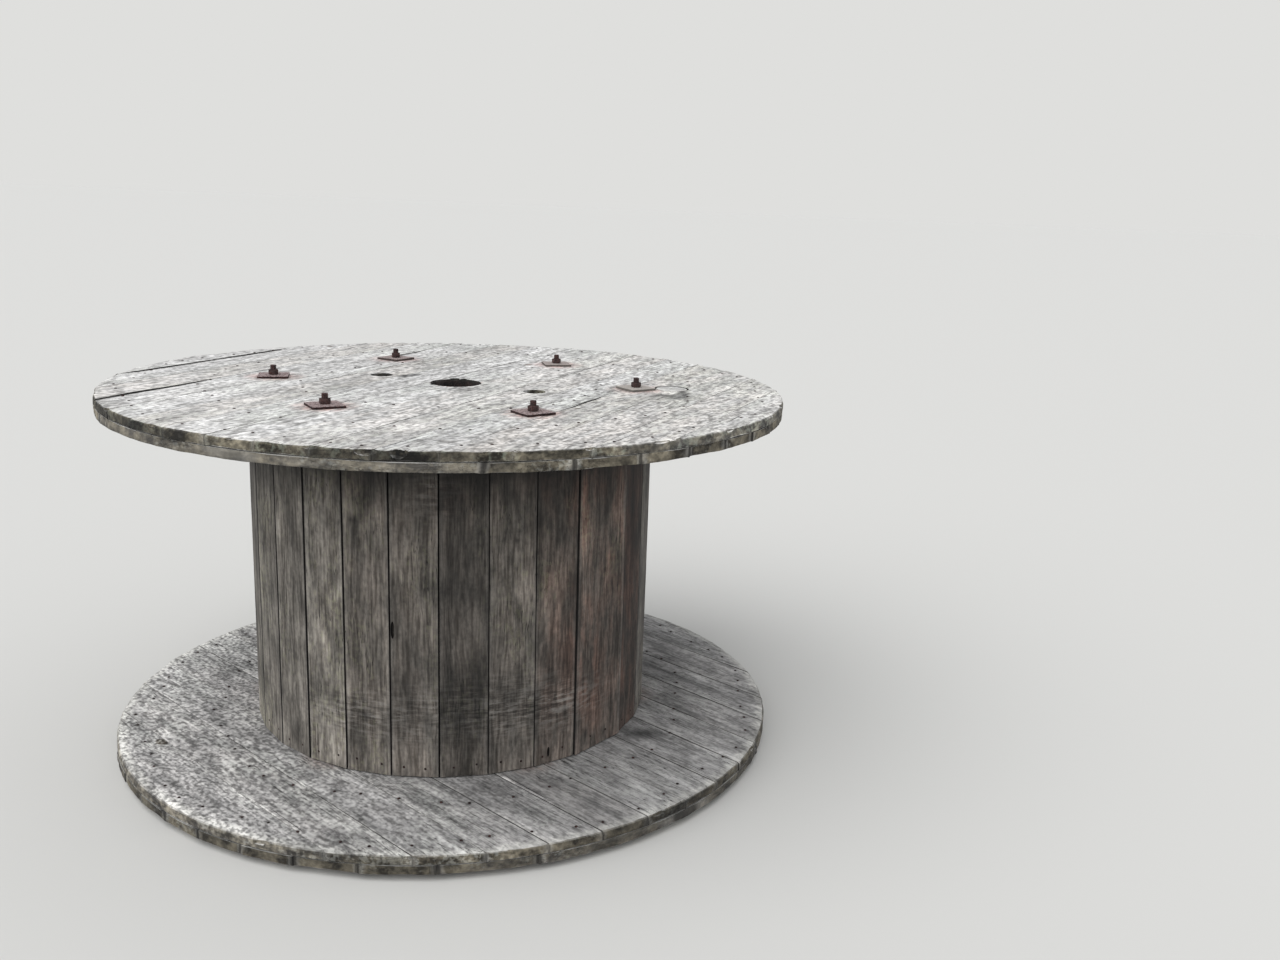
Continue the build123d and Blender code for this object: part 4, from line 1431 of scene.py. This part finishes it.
def faceNails(level, leastRadius, plugToo):
    spots = []
    for x, y in nailPlaces():
        clear = plugRadius + nailSettings["plugClearMm"] / 1000
        clearOfPlug = not plugToo or math.dist((x, y), plugPlace) > clear
        if math.hypot(x, y) > leastRadius and clearOfPlug:
            spots.append(((x, y, level), 0))
    return spots


def staveNails():
    spots = []
    strayMm, strayUp = nailSettings["strayMm"], nailSettings["strayUp"]
    for i in staveNumbers:
        direction, radial, _, heights = staveSolid(f"stave_{i:02d}")
        away = radial.max() - nailSettings["staveSunkMm"] / 1000
        inset = nailSettings["staveEndMm"] / 1000
        for height in (heights.min() + inset, heights.max() - inset):
            for side in (-1, 1):
                across = side * (nailSettings["staveOffMm"] + dice.uniform(-strayMm, strayMm)) / 1000
                x = away * math.cos(direction) - across * math.sin(direction)
                y = away * math.sin(direction) + across * math.cos(direction)
                spots.append(((x, y, height + dice.uniform(-strayUp, strayUp)), direction))
    return spots


sunk, outside = nailSettings["sunkMm"] / 1000, nailSettings["outsideBarrel"]
flatHead = (nailSettings["headMm"], nailSettings["headMm"], nailSettings["domeMm"])
staveHead = (nailSettings["staveDomeMm"], nailSettings["staveHeadMm"], nailSettings["staveHeadMm"])
makeNails("upperOuterNails", flatHead, faceNails(topLevel - sunk, 0, True))
makeNails("upperInnerNails", flatHead, faceNails(ceilingLevel + sunk, outside, True))
makeNails("lowerInnerNails", flatHead, faceNails(shelfLevel - sunk, outside, False))
makeNails("lowerOuterNails", flatHead, faceNails(footLevel + sunk, 0, False))
makeNails("staveNails", staveHead, staveNails())
for ringNode in ("lower_core_ring", "upper_core_ring"):
    nodes[ringNode].data.materials.clear()
    nodes[ringNode].data.materials.append(materials["innerSpruce"])
print("nails made")


# floor, light and camera

stageLook = {
    "floor": "#d3d2cf", "floorRoughness": 0.95, "floorGloss": 0.1, "horizon": "#dfdfdd",
    "sky": "#f2f4f6", "skyStrength": 0.8, "sunStrength": 1.7, "sunAngle": 70, "sunFrom": (-1.8, -1.2, 2.6),
}


def makeStage():
    floor = addShape("plane", size=400)
    floor.name = "floor"
    material = bpy.data.materials.new("floorPaint")
    material.use_nodes = True
    surface = material.node_tree.nodes["Principled BSDF"]
    surface.inputs["Base Color"].default_value = toLinear(stageLook["floor"])
    surface.inputs["Roughness"].default_value = stageLook["floorRoughness"]
    surface.inputs["Specular IOR Level"].default_value = stageLook["floorGloss"]
    floor.data.materials.append(material)

    world = bpy.data.worlds.new("softSky")
    world.use_nodes = True
    tree = world.node_tree
    tree.nodes.clear()
    seen = addNode(tree, "ShaderNodeLightPath", output="Is Camera Ray")
    sky = toLinear(stageLook["sky"])
    light = addNode(tree, "ShaderNodeBackground", {0: sky, 1: stageLook["skyStrength"]})
    shown = addNode(tree, "ShaderNodeBackground", {0: toLinear(stageLook["horizon"]), 1: 1.0})
    both = addNode(tree, "ShaderNodeMixShader", {}, {0: seen, 1: light, 2: shown})
    addNode(tree, "ShaderNodeOutputWorld", {}, {0: both})
    bpy.context.scene.world = world

    bpy.ops.object.light_add(type="SUN", location=stageLook["sunFrom"])
    sun = bpy.context.object
    sun.name = "softSun"
    sun.data.energy = stageLook["sunStrength"]
    sun.data.angle = math.radians(stageLook["sunAngle"])
    sun.rotation_euler = Vector(stageLook["sunFrom"]).to_track_quat("Z", "Y").to_euler()
    bpy.context.scene.view_settings.view_transform = "Standard"


cameraFit = {  # from the drum's outline in the photo, in degrees and metres
    "place": (0.00937, -3.26972, 1.47828), "pan": 10.738, "tilt": 12.920, "roll": 2.432,
    "focalPixels": 1179.26, "centrePixels": (677.15, 472.58), "imagePixels": (1280, 960), "sensorMm": 36,
}


def makeCamera():
    pan, tilt, roll = (math.radians(cameraFit[key]) for key in ("pan", "tilt", "roll"))
    forward = Vector((math.sin(pan) * math.cos(tilt), math.cos(pan) * math.cos(tilt), -math.sin(tilt)))
    right = Vector((math.cos(pan), -math.sin(pan), 0))
    up = right.cross(forward)
    tiltedRight = math.cos(roll) * right + math.sin(roll) * up
    tiltedUp = -math.sin(roll) * right + math.cos(roll) * up
    data = bpy.data.cameras.new("camera")
    camera = bpy.data.objects.new("camera", data)
    bpy.context.collection.objects.link(camera)
    turned = Matrix((tiltedRight, tiltedUp, -forward)).transposed().to_4x4()
    camera.matrix_world = Matrix.Translation(cameraFit["place"]) @ turned
    width, height = cameraFit["imagePixels"]
    data.sensor_width = cameraFit["sensorMm"]
    data.lens = cameraFit["focalPixels"] * cameraFit["sensorMm"] / width
    data.shift_x = -(cameraFit["centrePixels"][0] - width / 2) / width
    data.shift_y = (cameraFit["centrePixels"][1] - height / 2) / width
    bpy.context.scene.camera = camera


makeStage()
makeCamera()
print("stage, light and camera set")
